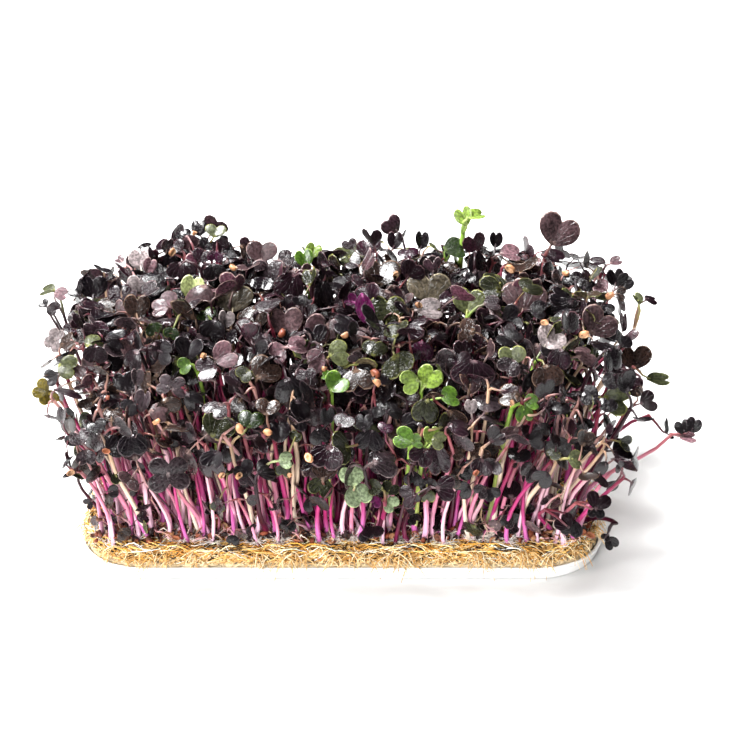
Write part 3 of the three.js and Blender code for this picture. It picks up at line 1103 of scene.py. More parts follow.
    def grow(self, node: str, root: Array, head: Array, size: float, leaf: Tone, stem: StemTone,
             habit: Habit = Habit.OPEN) -> None:
        """Adds a sprout whose leaves take the least crowded of several ways to lie.

        Args:
            node: the clump that it belongs to.
            root: where it leaves the mat.
            head: where its stem ends.
            size: the width of its bigger leaf.
            leaf: its leaves' tone.
            stem: its stem's tone.
            habit: how its leaves are held.
        """
        ways = self.heads(head, size, habit.value)
        axis = ways.pop("axis")
        probe = blade_sheet(ways, 12, np.linspace(0.15, 1, 6))[0].reshape(self.tries, -1, 3)
        high = np.abs(probe[..., 2].max(1) - head[2])
        across, down = self.sight.seen(probe)
        left, right = ends_at(down)
        past = np.maximum(left - across, across - right).max(1)
        cost = self.room.crowd(probe) + self.overlap_cost * self.kept.crowd(probe)
        cost += 0.1 * high + np.maximum(past, 0) + self.rng.uniform(0, 2, self.tries)
        best = int(np.argmin(cost))
        chosen = {key: rows[2 * best : 2 * best + 2] for key, rows in ways.items()}
        self.room.fill(blade_sheet(chosen, 16, np.linspace(0.1, 1, 8))[0])
        self.room.fill(self.stem_line(root, head))
        # drawn leaves take the painted shade of their head's depth in the stand
        blades = [
            Blade(**{key: rows[i] if rows.ndim == 2 else float(rows[i]) for key, rows in chosen.items()},
                  tone=leaf, shade=self.shade(head))
            for i in range(2)
        ]
        kink = self.rng.normal(size=3) * np.array([2.6, 2.6, 0.3])
        span = self.inner_stem if root[1] > -self.half_depth * 0.5 else self.front_stem
        young = min(1.0, 0.45 + 0.012 * float(np.linalg.norm(head - root)))
        radius = float(self.rng.uniform(*span)) * young
        self.clumps.setdefault(node, []).append(Sprout(root, head, axis[best], kink, radius, stem, blades))

    @staticmethod
    def stem_line(root: Array, head: Array) -> Array:
        """Points down a stem, from its head to its root."""
        return head + (root - head) * np.linspace(0, 1, 30)[:, None]

    def node_at(self, x: float, y: float) -> str:
        """The name of the clump that a root at x, y falls in."""
        column, row = (
            int(np.clip((at + half) * count / (2 * half), 0, count - 1))
            for at, half, count in ((x, self.half_length, self.columns), (y, self.half_depth, self.rows)))
        return f"sprouts_row{row + 1}_{column + 1}"

    def surface(self, across: float, down: float) -> float:
        """The y at which a line of sight enters the crown: the first plane, from the front, at
        which the line is no higher than the heads' leaves, or near the back where none is."""
        planes = np.linspace(-57.5, 58, 232)
        line = self.sight.at(across, down, planes)
        under = line[:, 2] <= self.crown_over(line[:, 0], planes) + self.leaf_rise
        return float(planes[np.argmax(under)]) if under.any() else 52.0

    def blade_of(self, leaf: Leaf) -> Blade:
        """Places one told leaf.

        Its face looks along (sin pan cos face, -cos pan cos face, sin face), its tip is the
        upward direction in its own plane turned clockwise, and its base is a bit over half its
        length back from its middle.

        Args:
            leaf: the leaf.

        Returns:
            The blade.
        """
        sight = self.sight
        y = self.surface(leaf.across, leaf.down) if leaf.deep is None else leaf.deep
        middle = sight.at(leaf.across, leaf.down, y)
        face, pan, turn = np.radians([leaf.face, leaf.pan, leaf.turn])
        normal = np.array([math.sin(pan) * math.cos(face), -math.cos(pan) * math.cos(face), math.sin(face)])
        rise = unit(UP - normal * normal[2])
        right = np.cross(rise, normal)
        along = math.cos(turn) * rise + math.sin(turn) * right
        width = sight.size(middle, leaf.wide)
        length = width * leaf.long
        draw = self.rng.uniform(size=4)
        return Blade(
            middle - along * length * 0.55, np.cross(along, normal), along, normal, length, width,
            notch=0.24 + 0.12 * draw[0], fold=leaf.fold, puff=0.06 + 0.12 * draw[1], arch=leaf.arch,
            wave=0.02 * draw[2], phase=6.28 * draw[3], tone=leaf.tone, fine=True,
        )

    def plant(self, plan: Plant) -> None:
        """Adds a told sprout. Its head is a little under and behind its leaves' bases, and it roots
        below. The air between what shows of it and the eye is kept clear of drawn sprouts.

        Args:
            plan: the sprout.
        """
        blades = [self.blade_of(leaf) for leaf in plan.leaves]
        base = np.mean([b.base for b in blades], axis=0)
        out = base * np.array([1 / 95, 1 / 60, 0])
        back = np.mean([b.along * np.array([1, 1, 0.4]) for b in blades], axis=0)
        head = base - 3.0 * back - out * np.array([2.5, 2.5, 0]) - UP * 3.6
        if plan.head:
            head = np.array(plan.head, float)
        rim = np.array([self.half_length, self.half_depth]) * 0.97
        x, y = plan.root or np.clip(head[:2] / np.array(self.spread) + np.array([0, 2.0]), -rim, rim)
        sheet = blade_fields(blades)
        self.room.fill(blade_sheet(sheet, 16, np.linspace(0.1, 1, 8))[0])
        root = np.array([x, y, self.mat_top])
        line = self.stem_line(root, head)
        self.room.fill(line)
        told = blade_sheet(sheet, 12, np.linspace(0.2, 1, 5))[0]
        for shape, clear in ((told, 30), (line[: plan.shown], 24)):
            for near in range(2, clear, 2):
                self.kept.fill(shape - self.sight.ahead * near)
        axis = unit(base - head + UP * 3)
        kink = self.rng.normal(size=3) * np.array([1.6, 1.6, 0.3])
        radius = float(self.rng.uniform(*self.told_stem)) * plan.stout
        self.clumps.setdefault(plan.node or self.node_at(x, y), []).append(
            Sprout(root, head, axis, kink, radius, plan.stem, blades))

    def leaf_tone(self) -> Tone:
        """Draws a leaf tone: mostly dark."""
        kinds = (Tone.NIGHT, Tone.PLUM, Tone.SMOKE, Tone.DUSK, Tone.MAUVE, Tone.BROWN, Tone.OLIVE, Tone.MOSS)
        return kinds[self.rng.choice(len(kinds), p=(0.36, 0.24, 0.10, 0.08, 0.03, 0.09, 0.07, 0.03))]

    def stem_tone(self, x: float, y: float) -> StemTone:
        """Draws a stem tone: mostly magenta and pink at the rim, where light reaches the stems, and mostly
        the dark wine red further in, which is painted shade among the inner stems."""
        kinds = (StemTone.MAGENTA, StemTone.ROSE, StemTone.BLUSH, StemTone.CREAM, StemTone.WINE)
        rim = max(abs(x) / self.half_length, abs(y) / self.half_depth) > 0.72
        # inside, three stems in four take the dark wine tone as painted shade
        odds = (0.22, 0.22, 0.28, 0.14, 0.14) if rim else (0.16, 0.06, 0.02, 0.01, 0.75)
        return kinds[self.rng.choice(len(kinds), p=odds)]

    def undergrow(self) -> None:
        """Grows small sprouts that stay low at the front and at the ends, in the clumps that their
        roots fall in: three in ten at an end, the others at the front."""
        rng = self.rng
        for _ in range(self.small):
            end = rng.random() < 0.3
            side = rng.choice((-1, 1))
            x = side * rng.uniform(70, 79) if end else rng.uniform(-79, 79)
            y = rng.uniform(-49, 40) if end else rng.uniform(-50, -40)
            out = np.array([side * 3.0 if end else rng.normal(0, 3), 0.0 if end else -rng.uniform(0, 5), 0.0])
            root = np.array([x, y, self.mat_top])
            head = root + out + UP * rng.uniform(4, 14) * (1.0 if rng.random() < 0.6 else 1.9)
            self.grow(self.node_at(x, y), root, head, rng.uniform(4.5, 8.0), self.leaf_tone(),
                      self.stem_tone(x, y), Habit.HOODED if rng.random() < 0.5 else Habit.OPEN)

    def fill(self) -> None:
        """Grows every clump's sprouts, on a jittered grid of roots in its own patch. A head that
        would stand in front of a told sprout is lowered first."""
        rng, jitter = self.rng, self.jitter
        pitch_x, pitch_y = 2 * self.half_length / self.columns, 2 * self.half_depth / self.rows
        for row, column in np.ndindex(self.rows, self.columns):
            count = self.sprouts_in_row[row]
            wide = math.ceil(math.sqrt(count * pitch_x / pitch_y))
            tall = math.ceil(count / wide)
            for spot in rng.permutation(wide * tall)[:count]:
                gx = (spot % wide + 0.5 + rng.uniform(-jitter, jitter)) / wide
                gy = (spot // wide + 0.5 + rng.uniform(-jitter, jitter)) / tall
                x = (-self.half_length + (column + gx) * pitch_x) * self.rooting[0]
                y = (-self.half_depth + (row + gy) * pitch_y) * self.rooting[1]
                low = rng.random() < self.low_share[row]
                size = rng.uniform(*(self.short_leaf if low else self.tall_leaf))
                habit = list(Habit)[rng.choice(len(Habit), p=self.habit_odds)]
                size *= 1.0 if habit is Habit.OPEN else self.closed_size
                head = self.under_sky(self.head_over(x, y, low), size * rng.uniform(0.5, 1.7))
                for _ in range(5):
                    if self.kept.crowd(head[None] + UP * 3) > 0:
                        head = head - UP * 4
                root = np.array([x, y, self.mat_top])
                node = f"sprouts_row{row + 1}_{column + 1}"
                self.grow(node, root, head, size, self.leaf_tone(), self.stem_tone(x, y), habit)


def gathered(things: list[Any], *fields: str) -> list[Array]:
    """Each of those fields of all the things, as one array."""
    return [np.array([getattr(thing, name) for thing in things]) for name in fields]


@dataclass
class Plants:
    """Meshes of the sprouts: the stems with their leaf stalks, and the leaves, clump by clump. Cut
    is how drawn leaves are meshed, and fine how told ones are."""

    stand: Stand
    rings: int = 8
    sides: int = 6
    stalk_sides: int = 4
    cut: BladeCut = BladeCut()
    fine: BladeCut = BladeCut(20, (0.2, 0.45, 0.7, 0.94, 1.0), 0.55)

    def stems(self, sprouts: list[Sprout]) -> Shell:
        """Stems: a Bézier from the root, off to one side by its kink, up into the head's axis.

        Args:
            sprouts: the clump's sprouts.

        Returns:
            The shell.
        """
        t = np.linspace(0, 1, self.rings) ** 1.25
        root, head, axis, kink = gathered(sprouts, "root", "head", "axis", "kink")
        tall = np.linalg.norm(head - root, axis=1, keepdims=True)
        kink = kink * np.minimum(1.0, tall / 45)
        leave = root + UP * tall * 0.34 + kink * 2.2
        arrive = head - unit(axis + UP * 0.8) * tall * 0.36
        paths = bend(root - UP * 1.2, leave, arrive, head, t)
        wobble = np.sin(t * math.pi)[:, None] * kink[:, None] * np.sin(t * 7 + kink[:, :1])[..., None]
        paths = paths + wobble * 0.2 * np.array([1, 1, 0])
        radius = gathered(sprouts, "radius")[0][:, None] * (1.0 - 0.34 * t + 0.22 * np.exp(-t / 0.05))
        ends = linear([s.tone.value for s in sprouts])
        a, b = ease(t / 0.35)[None, :, None], ease((t - 0.45) / 0.55)[None, :, None]
        tone = (ends[:, 0:1] * (1 - a) + ends[:, 1:2] * a) * (1 - b) + ends[:, 2:3] * b
        return tubes(paths, radius, self.sides, tone, 2.0)

    def stalks(self, sprouts: list[Sprout]) -> Shell:
        """Leaf stalks: for each blade a thin Bézier from the head into the blade's base.

        Args:
            sprouts: the clump's sprouts.

        Returns:
            The shell.
        """
        blades = [b for s in sprouts for b in s.blades]
        bearers = [s for s in sprouts for _ in s.blades]
        head, axis, radius = gathered(bearers, "head", "axis", "radius")
        base, along, normal = gathered(blades, "base", "along", "normal")
        head = head - axis * 0.4
        reach = np.linalg.norm(base - head, axis=1, keepdims=True)
        end = base + along * 1.6 - normal * 0.25
        u = np.linspace(0, 1, 4)
        paths = bend(head, head + axis * reach * 0.35, base - along * reach * 0.3, end, u)
        skin = linear([s.tone.value[2] for s in bearers])[:, None]
        # stalks end near their blade's rim tone, whose paleness is partly painted highlight
        rim = linear([b.tone.value.rim for b in blades])[:, None]
        blend = ease(u)[None, :, None]
        tone = skin * (1 - blend) + rim * 0.8 * blend
        return tubes(paths, radius[:, None] * (0.66 - 0.34 * u), self.stalk_sides, tone, 1.6)

    def build(self, leaf: Material, stem: Material) -> None:
        """Makes two pieces for each clump, which together stand for its CAD node."""
        for node, sprouts in self.stand.clumps.items():
            short = node.replace("sprouts_", "").replace("sprout_", "")
            blades = [b for s in sprouts for b in s.blades]
            drawn, told = ([b for b in blades if b.fine is fine] for fine in (False, True))
            groups = ((self.cut, drawn), (self.fine, told))
            leaves = Shell.joined([cut.shell(group) for cut, group in groups if group])
            stems = Shell.joined([self.stems(sprouts), self.stalks(sprouts)])
            tones = [b.tone for b in blades]
            main_tone = max(dict.fromkeys(tones), key=tones.count)
            place(stems.mesh(f"stems_{short}"), stem, "pink_stem", node)
            place(leaves.mesh(f"leaves_{short}"), leaf, main_tone.value.slot, node)


def place(piece: bpy.types.Object, material: Material, slot: str, *nodes: str) -> bpy.types.Object:
    """Dresses a finished piece and hands it to the frame.

    Args:
        piece: the object.
        material: its finish.
        slot: the record's material slot.
        nodes: the CAD nodes that it stands for.

    Returns:
        The piece.
    """
    piece.data.materials.append(material)
    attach(piece, BODY)
    if nodes:
        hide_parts(*nodes)
    triangles = sum(len(p.vertices) - 2 for p in piece.data.polygons)
    stands_for = ", ".join(nodes) or "nothing"
    log.info("piece %s: %d triangles, slot %s, stands for %s", piece.name, triangles, slot, stands_for)
    return piece


# ---------------------------------------------------------------- litter


class HullTone(Enum):
    """A seed hull's colours outside and inside."""

    TAN = ((162, 114, 80), (196, 156, 122))
    RUST = ((120, 62, 42), (154, 96, 66))
    BROWN = ((84, 48, 34), (110, 70, 50))
    DARK = ((30, 20, 20), (54, 34, 30))


# Where hulls are caught in the crown, as places in the view.
CAUGHT = (
    (506, 274), (192, 230), (170, 255), (375, 369), (380, 380), (608, 298), (613, 296), (586, 329),
    (203, 350), (113, 398), (264, 431), (306, 454), (235, 435), (284, 476), (221, 481), (233, 480),
    (474, 468), (513, 400), (156, 424), (104, 446), (72, 474), (392, 272), (566, 270), (340, 332),
    (232, 266), (419, 300), (545, 318),
)


# Stretches of the front rim, across the view, where white root hairs felt the stems' feet together.
FELTED = ((168, 212), (229, 299), (309, 375), (390, 520))


@dataclass
class Litter:
    """What lies between the stems and hangs in the crown: split seed hulls, curled white roots,
    and the hairs, or tufts, that felt the roots together. The fields say how many there are, and
    the spans of their radii, flatness, reach, steps and arch."""

    lying: int = 600
    hanging: int = 10
    curls: int = 460
    tufts: int = 4400
    lying_radius: Span = (0.75, 1.85)
    hanging_radius: Span = (1.1, 1.9)
    flatness: Span = (0.45, 1.1)
    root_radius: Span = (0.16, 0.36)
    root_step: Span = (0.8, 1.9)
    root_arch: Span = (0.2, 4.2)
    hair_radius: Span = (0.08, 0.19)
    hair_reach: Span = (1.4, 4.8)
    seed: int = 77

    def __post_init__(self) -> None:
        """Starts the seeded draws."""
        self.rng = np.random.default_rng(self.seed)

    def on_mat(self, stand: Stand, count: int, spill: float) -> Array:
        """Places on the mat's top: over half of them near the front, an eighth near the ends, and
        the rest all over. Spill is how far past the roots they may lie."""
        rng = self.rng
        x, y = rng.uniform(-1, 1, count), rng.uniform(-1, 1, count)
        edge = rng.random(count)
        y = np.where(edge < 0.55, -1 + 0.2 * rng.random(count), y)
        x = np.where((edge > 0.55) & (edge < 0.68), np.sign(x) * (1 - 0.1 * rng.random(count)), x)
        plan = np.column_stack([x * (stand.half_length + spill), y * (stand.half_depth + spill)])
        return np.column_stack([plan, np.full(count, stand.mat_top)])

    def in_crown(self, stand: Stand) -> Array:
        """Places on leaves: the leaf point that is nearest the eye of those that lie close to each
        told line of sight, and some drawn ones."""
        blades = [b for sprouts in stand.clumps.values() for s in sprouts for b in s.blades]
        points, _ = blade_sheet(blade_fields(blades), 10, np.array([0.4, 0.75, 1.0]))
        points = points.reshape(-1, 3)
        sight = stand.sight
        away = points - np.array(sight.eye)
        spots = []
        for across, down in CAUGHT:
            ray = sight.ray(across, down)
            off = np.linalg.norm(away - ray * away[:, 1:2], axis=1)
            depth = np.where(off < 2.4, away[:, 1], 1e9)
            spots.append(points[int(np.argmin(depth))] + np.array([0, -0.7, 0.7]))
        rest = points[self.rng.integers(0, len(points), self.hanging)] + UP * 0.6
        return np.concatenate([np.array(spots), rest])

    def hulls(self, stand: Stand, finish: Material) -> None:
        """Hulls: split cups, each a profile that goes up the outside, over the broken lip and down
        inside, turned round a slanted axis and drawn out to an oval."""
        rng = self.rng
        lie = self.on_mat(stand, self.lying, 4.0)
        hang = self.in_crown(stand)
        spot = np.concatenate([lie + UP * rng.uniform(0.2, 2.2, (len(lie), 1)), hang])
        n = len(spot)
        radius = np.concatenate([
            rng.uniform(*self.lying_radius, len(lie)), rng.uniform(*self.hanging_radius, len(hang)),
        ])
        axis = unit(rng.normal(size=(n, 3)) + np.array([0, -0.3, 0.4]))
        profile = np.array([(0.4, 0.0), (0.94, 0.3), (1.0, 1.1), (0.86, 1.08), (0.84, 0.6), (0.5, 0.3)])
        wide = radius[:, None] * profile[:, 0] * rng.uniform(0.85, 1.1, (n, len(profile)))
        flat = np.concatenate([rng.uniform(*self.flatness, len(lie)), np.ones(len(hang))])
        tall = (radius * flat)[:, None] * (profile[:, 1] - 0.7)
        pick = np.concatenate([
            rng.choice(4, len(lie), p=(0.14, 0.3, 0.2, 0.36)),
            rng.choice(4, len(hang), p=(0.62, 0.2, 0.12, 0.06)),
        ])
        pick[len(lie) : len(lie) + len(CAUGHT)] = rng.choice(2, len(CAUGHT), p=(0.82, 0.18))
        skins = linear([kind.value for kind in HullTone])[pick]
        inside = (np.arange(len(profile)) > 2)[None, :, None]
        tone = np.where(inside, skins[:, 1:2], skins[:, 0:1]) * rng.uniform(0.75, 1.2, (n, 1, 1))
        shell = turned(spot, axis, rng.uniform(0, 6.28, n), wide, tall, 7, np.clip(tone, 0, 1), 0.66)
        place(shell.mesh("seed_hulls"), finish, "seed_hull")

    def roots(self, stand: Stand, finish: Material) -> None:
        """Roots: thin white strands that wander over the mat. Each one's heading turns by a steady
        curl plus a sway, and its height rises and falls in one low arch."""
        rng, n, k = self.rng, self.curls, 7
        start = self.on_mat(stand, n, 1.0)
        heading = rng.uniform(0, 2 * math.pi, (n, 1))
        heading = heading + np.cumsum(rng.normal(0, 0.45, (n, k)) + rng.normal(0, 0.3, (n, 1)), axis=1)
        step = rng.uniform(*self.root_step, (n, 1))
        x, y = np.cumsum(step * np.cos(heading), axis=1), np.cumsum(step * np.sin(heading), axis=1)
        arch = np.sin(np.linspace(0, math.pi, k)) * rng.uniform(*self.root_arch, (n, 1))
        arch = arch + rng.normal(0, 0.2, (n, k))
        paths = start[:, None] + np.stack([x, y, np.maximum(arch, -0.2)], -1)
        edge = np.array([stand.half_length + 3.5, stand.half_depth + 3.5])
        paths[..., :2] = np.clip(paths[..., :2], -edge, edge)
        radii = rng.uniform(*self.root_radius, (n, 1)) * np.linspace(1.0, 0.45, k)
        shades = linear([(236, 224, 208), (204, 166, 142), (214, 158, 160), (150, 104, 84)])
        tone = np.repeat(shades[rng.integers(0, 4, n)][:, None], k, 1)
        place(tubes(paths, radii, 4, tone, 1.5).mesh("white_roots"), finish, "white_root")

    def hairs(self, stand: Stand, finish: Material) -> None:
        """Hairs: fine short strands that stand out round the stems' feet in all directions and sag
        at their ends. The odds of a foot to bear them are high at the ends and in felted stretches."""
        rng, n, k = self.rng, self.tufts, 4
        feet = np.array([s.root for sprouts in stand.clumps.values() for s in sprouts])
        across = np.asarray(stand.sight.seen(feet)[0])
        felted = np.any([(across > low) & (across < high) for low, high in FELTED], axis=0)
        odds = 0.1 + (np.abs(feet[:, 0]) > stand.half_length * 0.88) * 0.6
        odds = odds * np.clip(0.45 + 1.9 * ripples(feet, 22.0, 9), 0.05, 2.6)
        odds = odds + (feet[:, 1] < -stand.half_depth * 0.86) * (0.5 + 4.5 * felted)
        at = feet[rng.choice(len(feet), n, p=odds / odds.sum())]
        way = unit(rng.normal(size=(n, 3)) * np.array([1, 1, 0.6]) + UP * 0.6)
        reach = rng.uniform(*self.hair_reach, (n, 1, 1))
        t = np.linspace(0, 1, k)[None, :, None]
        sag = UP * (t**2) * reach * rng.uniform(0.0, 0.7, (n, 1, 1))
        off = rng.normal(0, 0.7, (n, 1, 3)) * np.array([1, 1, 0.2])
        paths = at[:, None] + off + way[:, None] * reach * t - sag
        paths[..., 2] = np.maximum(paths[..., 2], stand.mat_top + 0.1)
        radii = rng.uniform(*self.hair_radius, (n, 1)) * np.linspace(1.0, 0.5, k)
        tone = np.tile(linear((240, 230, 222)), (n, k, 1)) * rng.uniform(0.7, 1.0, (n, 1, 1))
        place(tubes(paths, radii, 3, tone, 1.0).mesh("root_hairs"), finish, "white_root")


# ---------------------------------------------------------------- tray and mat


def round_rectangle(length: float, depth: float, corner: float, count: int) -> Pair:
    """Points evenly spaced round a rectangle with round corners, anticlockwise from the right.

    Args:
        length: size along x.
        depth: size along y.
        corner: the corners' radius.
        count: how many points.

    Returns:
        (count, 2) points, and the outward unit vector at each.
    """
    straight = [depth - 2 * corner, length - 2 * corner]
    arc = corner * math.pi / 2
    total = 2 * (sum(straight) + 2 * arc)
    s = (np.arange(count) + 0.5) * total / count
    points, normals = np.zeros((count, 2)), np.zeros((count, 2))
    inner = np.array([length / 2 - corner, depth / 2 - corner])
    middle = np.array([[1, 1], [-1, 1], [-1, -1], [1, -1]]) * inner
    begin = 0.0
    for quarter in range(4):  # one straight side, then the corner at its end
        face = quarter * math.pi / 2
        here = (s >= begin) & (s < begin + straight[quarter % 2])
        out = np.array([round(math.cos(face)), round(math.sin(face))], float)
        share = (s[here] - begin) / max(straight[quarter % 2], 1e-9)
        a, b = middle[quarter - 1] + corner * out, middle[quarter] + corner * out
        points[here], normals[here] = a + (b - a) * share[:, None], out
        begin += straight[quarter % 2]
        here = (s >= begin) & (s < begin + arc)
        angle = face + (s[here] - begin) / arc * math.pi / 2
        normals[here] = np.column_stack([np.cos(angle), np.sin(angle)])
        points[here] = middle[quarter] + corner * normals[here]
        begin += arc
    return points, normals


def laid_round(rim: Array, out: Array, section: Array, near: float) -> Array:
    """Rings of a section that goes round a rim. Near it a ring keeps its distance from the rim, and
    further in it is the rim shrunk towards the middle, so that no corner folds over.

    Args:
        rim: (N, 2) the rim's points.
        out: (N, 2) the outward unit vector at each.
        section: (K, 2) steps out from the rim, and heights.
        near: how far in a ring keeps its distance.

    Returns:
        (K, N, 3) points.
    """
    step = section[:, :1, None]
    shrunk = rim * np.clip(1 + step / rim[:, 1].max(), 0.02, 1)
    plan = np.where(np.abs(step) < near, rim + out * step, shrunk)
    return np.concatenate([plan, np.broadcast_to(section[:, 1:, None], plan.shape[:2] + (1,))], -1)


@dataclass
class Tray:
    """The shallow white tray: a flat base and a low wall with a rolled lip. Wall and base are their
    thicknesses, and samples how many points go round it."""

    length: float = 176.0
    depth: float = 116.0
    height: float = 5.0
    corner: float = 24.0
    wall: float = 1.2
    base: float = 1.2
    samples: int = 160

    def build(self, finish: Material) -> None:
        """Sweeps the tray's section round its outline: under the base, out, up the drafted wall,
        over the lip, and down inside."""
        w, h = self.wall, self.height
        section = np.array([
            (-56.0, 0.0), (-20.0, 0.0), (-3.2, 0.0), (-2.6, 0.0),
            (-1.8, 0.15), (-1.3, 0.6), (-1.0, 1.4), (-0.75, 2.6),
            (-0.5, h - 1.2), (-0.1, h - 0.95), (0.0, h - 0.6), (-0.05, h - 0.22), (-0.3, h - 0.03), (-0.6, h),
            (-0.95, h - 0.06), (-w, h - 0.3), (-w - 0.1, h - 0.8), (-w - 0.35, self.base + 1.0),
            (-w - 0.8, self.base + 0.3), (-w - 1.6, self.base), (-20.0, self.base), (-56.0, self.base),
        ])
        rim, out = round_rectangle(self.length, self.depth, self.corner, self.samples)
        rings = laid_round(rim, out, section, self.corner * 0.8)[None]
        tone = np.ones((1, len(section), 3))
        start, end = np.array([[0, 0, 0.0]]), np.array([[0, 0, self.base]])
        place(swept(rings, start, end, tone).mesh("tray_shell"), finish, "tray_plastic", "tray")


@dataclass
class Mat:
    """The growing mat: a felted heart, and coarse fibres that tangle round its rim.

    Low and high are the fibres' lowest and highest lines, felt is the height of the heart's middle,
    starts how many places round it fibres start at, loose how many loose ends there are, lip how far
    out the tray's lip is, and fuzz how far fibres stand out. Then come the spans and spreads of the
    draws: a fibre's reach, radius, tilt and curl, and a loose end's.
    """

    length: float = 172.4
    depth: float = 112.4
    corner: float = 22.8
    low: float = 1.5
    high: float = 11.5
    felt: float = 10.8
    samples: int = 300
    starts: int = 1440
    fibres: int = 4200
    batches: int = 4
    loose: int = 1900
    lip: float = 2.3
    fuzz: float = 0.35
    reach: Span = (1.4, 6.0)
    radius: Span = (0.1, 0.2)
    tilt: float = 0.5
    curl: float = 0.55
    loose_radius: Span = (0.12, 0.22)
    loose_start: Span = (5.9, 10.6)
    loose_droop: Span = (0.2, 1.4)
    loose_drift: float = 3.4
    seed: int = 31

    def heart(self, finish: Material) -> None:
        """The felted heart: a round-edged slab whose skin is pushed in and out by ripples."""
        section = np.array([
            (-55.0, self.low), (-30.0, self.low), (-8.0, self.low), (-3.2, self.low + 0.1), (-1.6, 2.0),
            (-0.6, 3.2), (0.35, 4.5), (0.1, 5.5), (-0.6, 7.4), (-0.9, 8.8), (-1.7, 10.0), (-3.0, 10.7),
            (-5.0, 10.9), (-8.0, 10.9), (-12.0, 10.9), (-17.0, 10.9),
            (-24.0, self.felt), (-34.0, self.felt), (-45.0, self.felt), (-54.0, self.felt),
        ])
        rim, out = round_rectangle(self.length, self.depth, self.corner, self.samples)
        rings = laid_round(rim, out, section, 12.0)
        push = 0.45 * ripples(rings, 5.0, 3) + 0.35 * ripples(rings, 2.2, 4)
        step, height = section[:, :1], section[:, 1:]
        push = np.where(height < 5.2, np.minimum(push, 0.1), push)  # below the tray's lip there is no room
        rings[..., :2] += out[None] * (push * ((step > -9) & (height > 1.8)))[..., None]
        rings[..., 2] += push * (height > 9) * 0.8
        tone = np.ones((1, len(section), 3))
        shell = swept(rings[None], np.array([[0, 0, self.low]]), np.array([[0, 0, self.felt]]), tone)
        place(shell.mesh("mat_heart"), finish, "mat_fibre", "growing_mat")

    def tangle(self, finish: Material) -> None:
        """Fibres: short curved strands in the skin of the mat's side and rim, at all angles but
        mostly lying along it, some looping out.

        A fibre's start is a share of the way up the side and over the rim. From there it runs along
        the rim, rises by reach (tilt t + curl (1 - t²)) for t from -1 to 1, and sinks into the skin.
        """
        rng = np.random.default_rng(self.seed)
        rim, out = round_rectangle(self.length, self.depth, self.corner, self.starts)
        each = self.fibres // self.batches
        steps = np.linspace(-1, 1, 6)
        # the near-black shade, a fifth of the fibres, is partly dark fibre, partly painted shade of the gaps
        shades = linear([
            (234, 190, 112), (246, 228, 184), (216, 158, 66), (254, 246, 230), (30, 15, 8), (190, 122, 42),
        ])
        for batch in range(self.batches):
            at = rng.integers(0, len(rim), each)
            point, away = rim[at][:, None], out[at]
            tangent = np.column_stack([-away[:, 1], away[:, 0]])[:, None]
            around = rng.beta(1.6, 1.3, each)
            slope = np.clip((around - 0.62) / 0.38, 0, 1)
            foot = self.low + 0.8
            height = foot + (self.high - foot) * np.minimum(around / 0.72, 1)
            inset = -0.6 - 11.0 * slope**1.3 - 1.6 * (np.abs(height - 6.5) / 5) ** 3
            reach = rng.uniform(*self.reach, each)[:, None]
            tilt, curl = rng.normal(0, self.tilt, each)[:, None], rng.normal(0, self.curl, each)[:, None]
            along = reach * steps
            lift = reach * (np.sin(tilt) * steps + curl * (1 - steps**2) * 0.8)
            lift = lift * np.clip(1.2 - slope, 0.25, 1)[:, None]
            loose = rng.random(each)[:, None]
            sink = 0.9 * loose - 0.55 * np.cos(steps * 1.5) * rng.uniform(0.2, 1.4, each)[:, None]
            on_top = slope[:, None] > 0
            flat = (inset[:, None] - sink * ~on_top)[..., None] * away[:, None] + tangent * along[..., None]
            flat = flat + away[:, None] * np.where(on_top, lift * 1.5, 0.0)[..., None]
            bow = 1 - (along**2 / (2 * 60.0 * 60.0))[..., None] * 0.2
            z = height[:, None] + np.where(on_top, -sink * 0.7, lift)
            z = np.clip(z, self.low + 0.3, self.high + 1.1)
            paths = np.concatenate([self.held(point * bow + flat), z[..., None]], -1)
            paths += 0.25 * rng.normal(size=paths.shape) * np.array([1, 1, 0.6])
            radii = rng.uniform(*self.radius, each)[:, None] * (1 - 0.55 * steps**4)
            pick = rng.choice(len(shades), each, p=(0.24, 0.19, 0.17, 0.1, 0.21, 0.09))
            tone = np.repeat(shades[pick][:, None], len(steps), 1) * rng.uniform(0.95, 1.35, (each, 1, 1))
            # paled towards cream below 6.8 mm: painted bounce light from the white tray at the mat's foot
            pale = np.clip((6.8 - z) / 2.4, 0, 0.75)[..., None]
            tone = np.clip(tone * (1 - pale) + linear((252, 238, 208)) * pale, 0, 1)
            mesh = tubes(paths, radii, 3, tone, 1.0).mesh(f"mat_fibres_{batch + 1}")
            place(mesh, finish, "mat_fibre", "growing_mat")

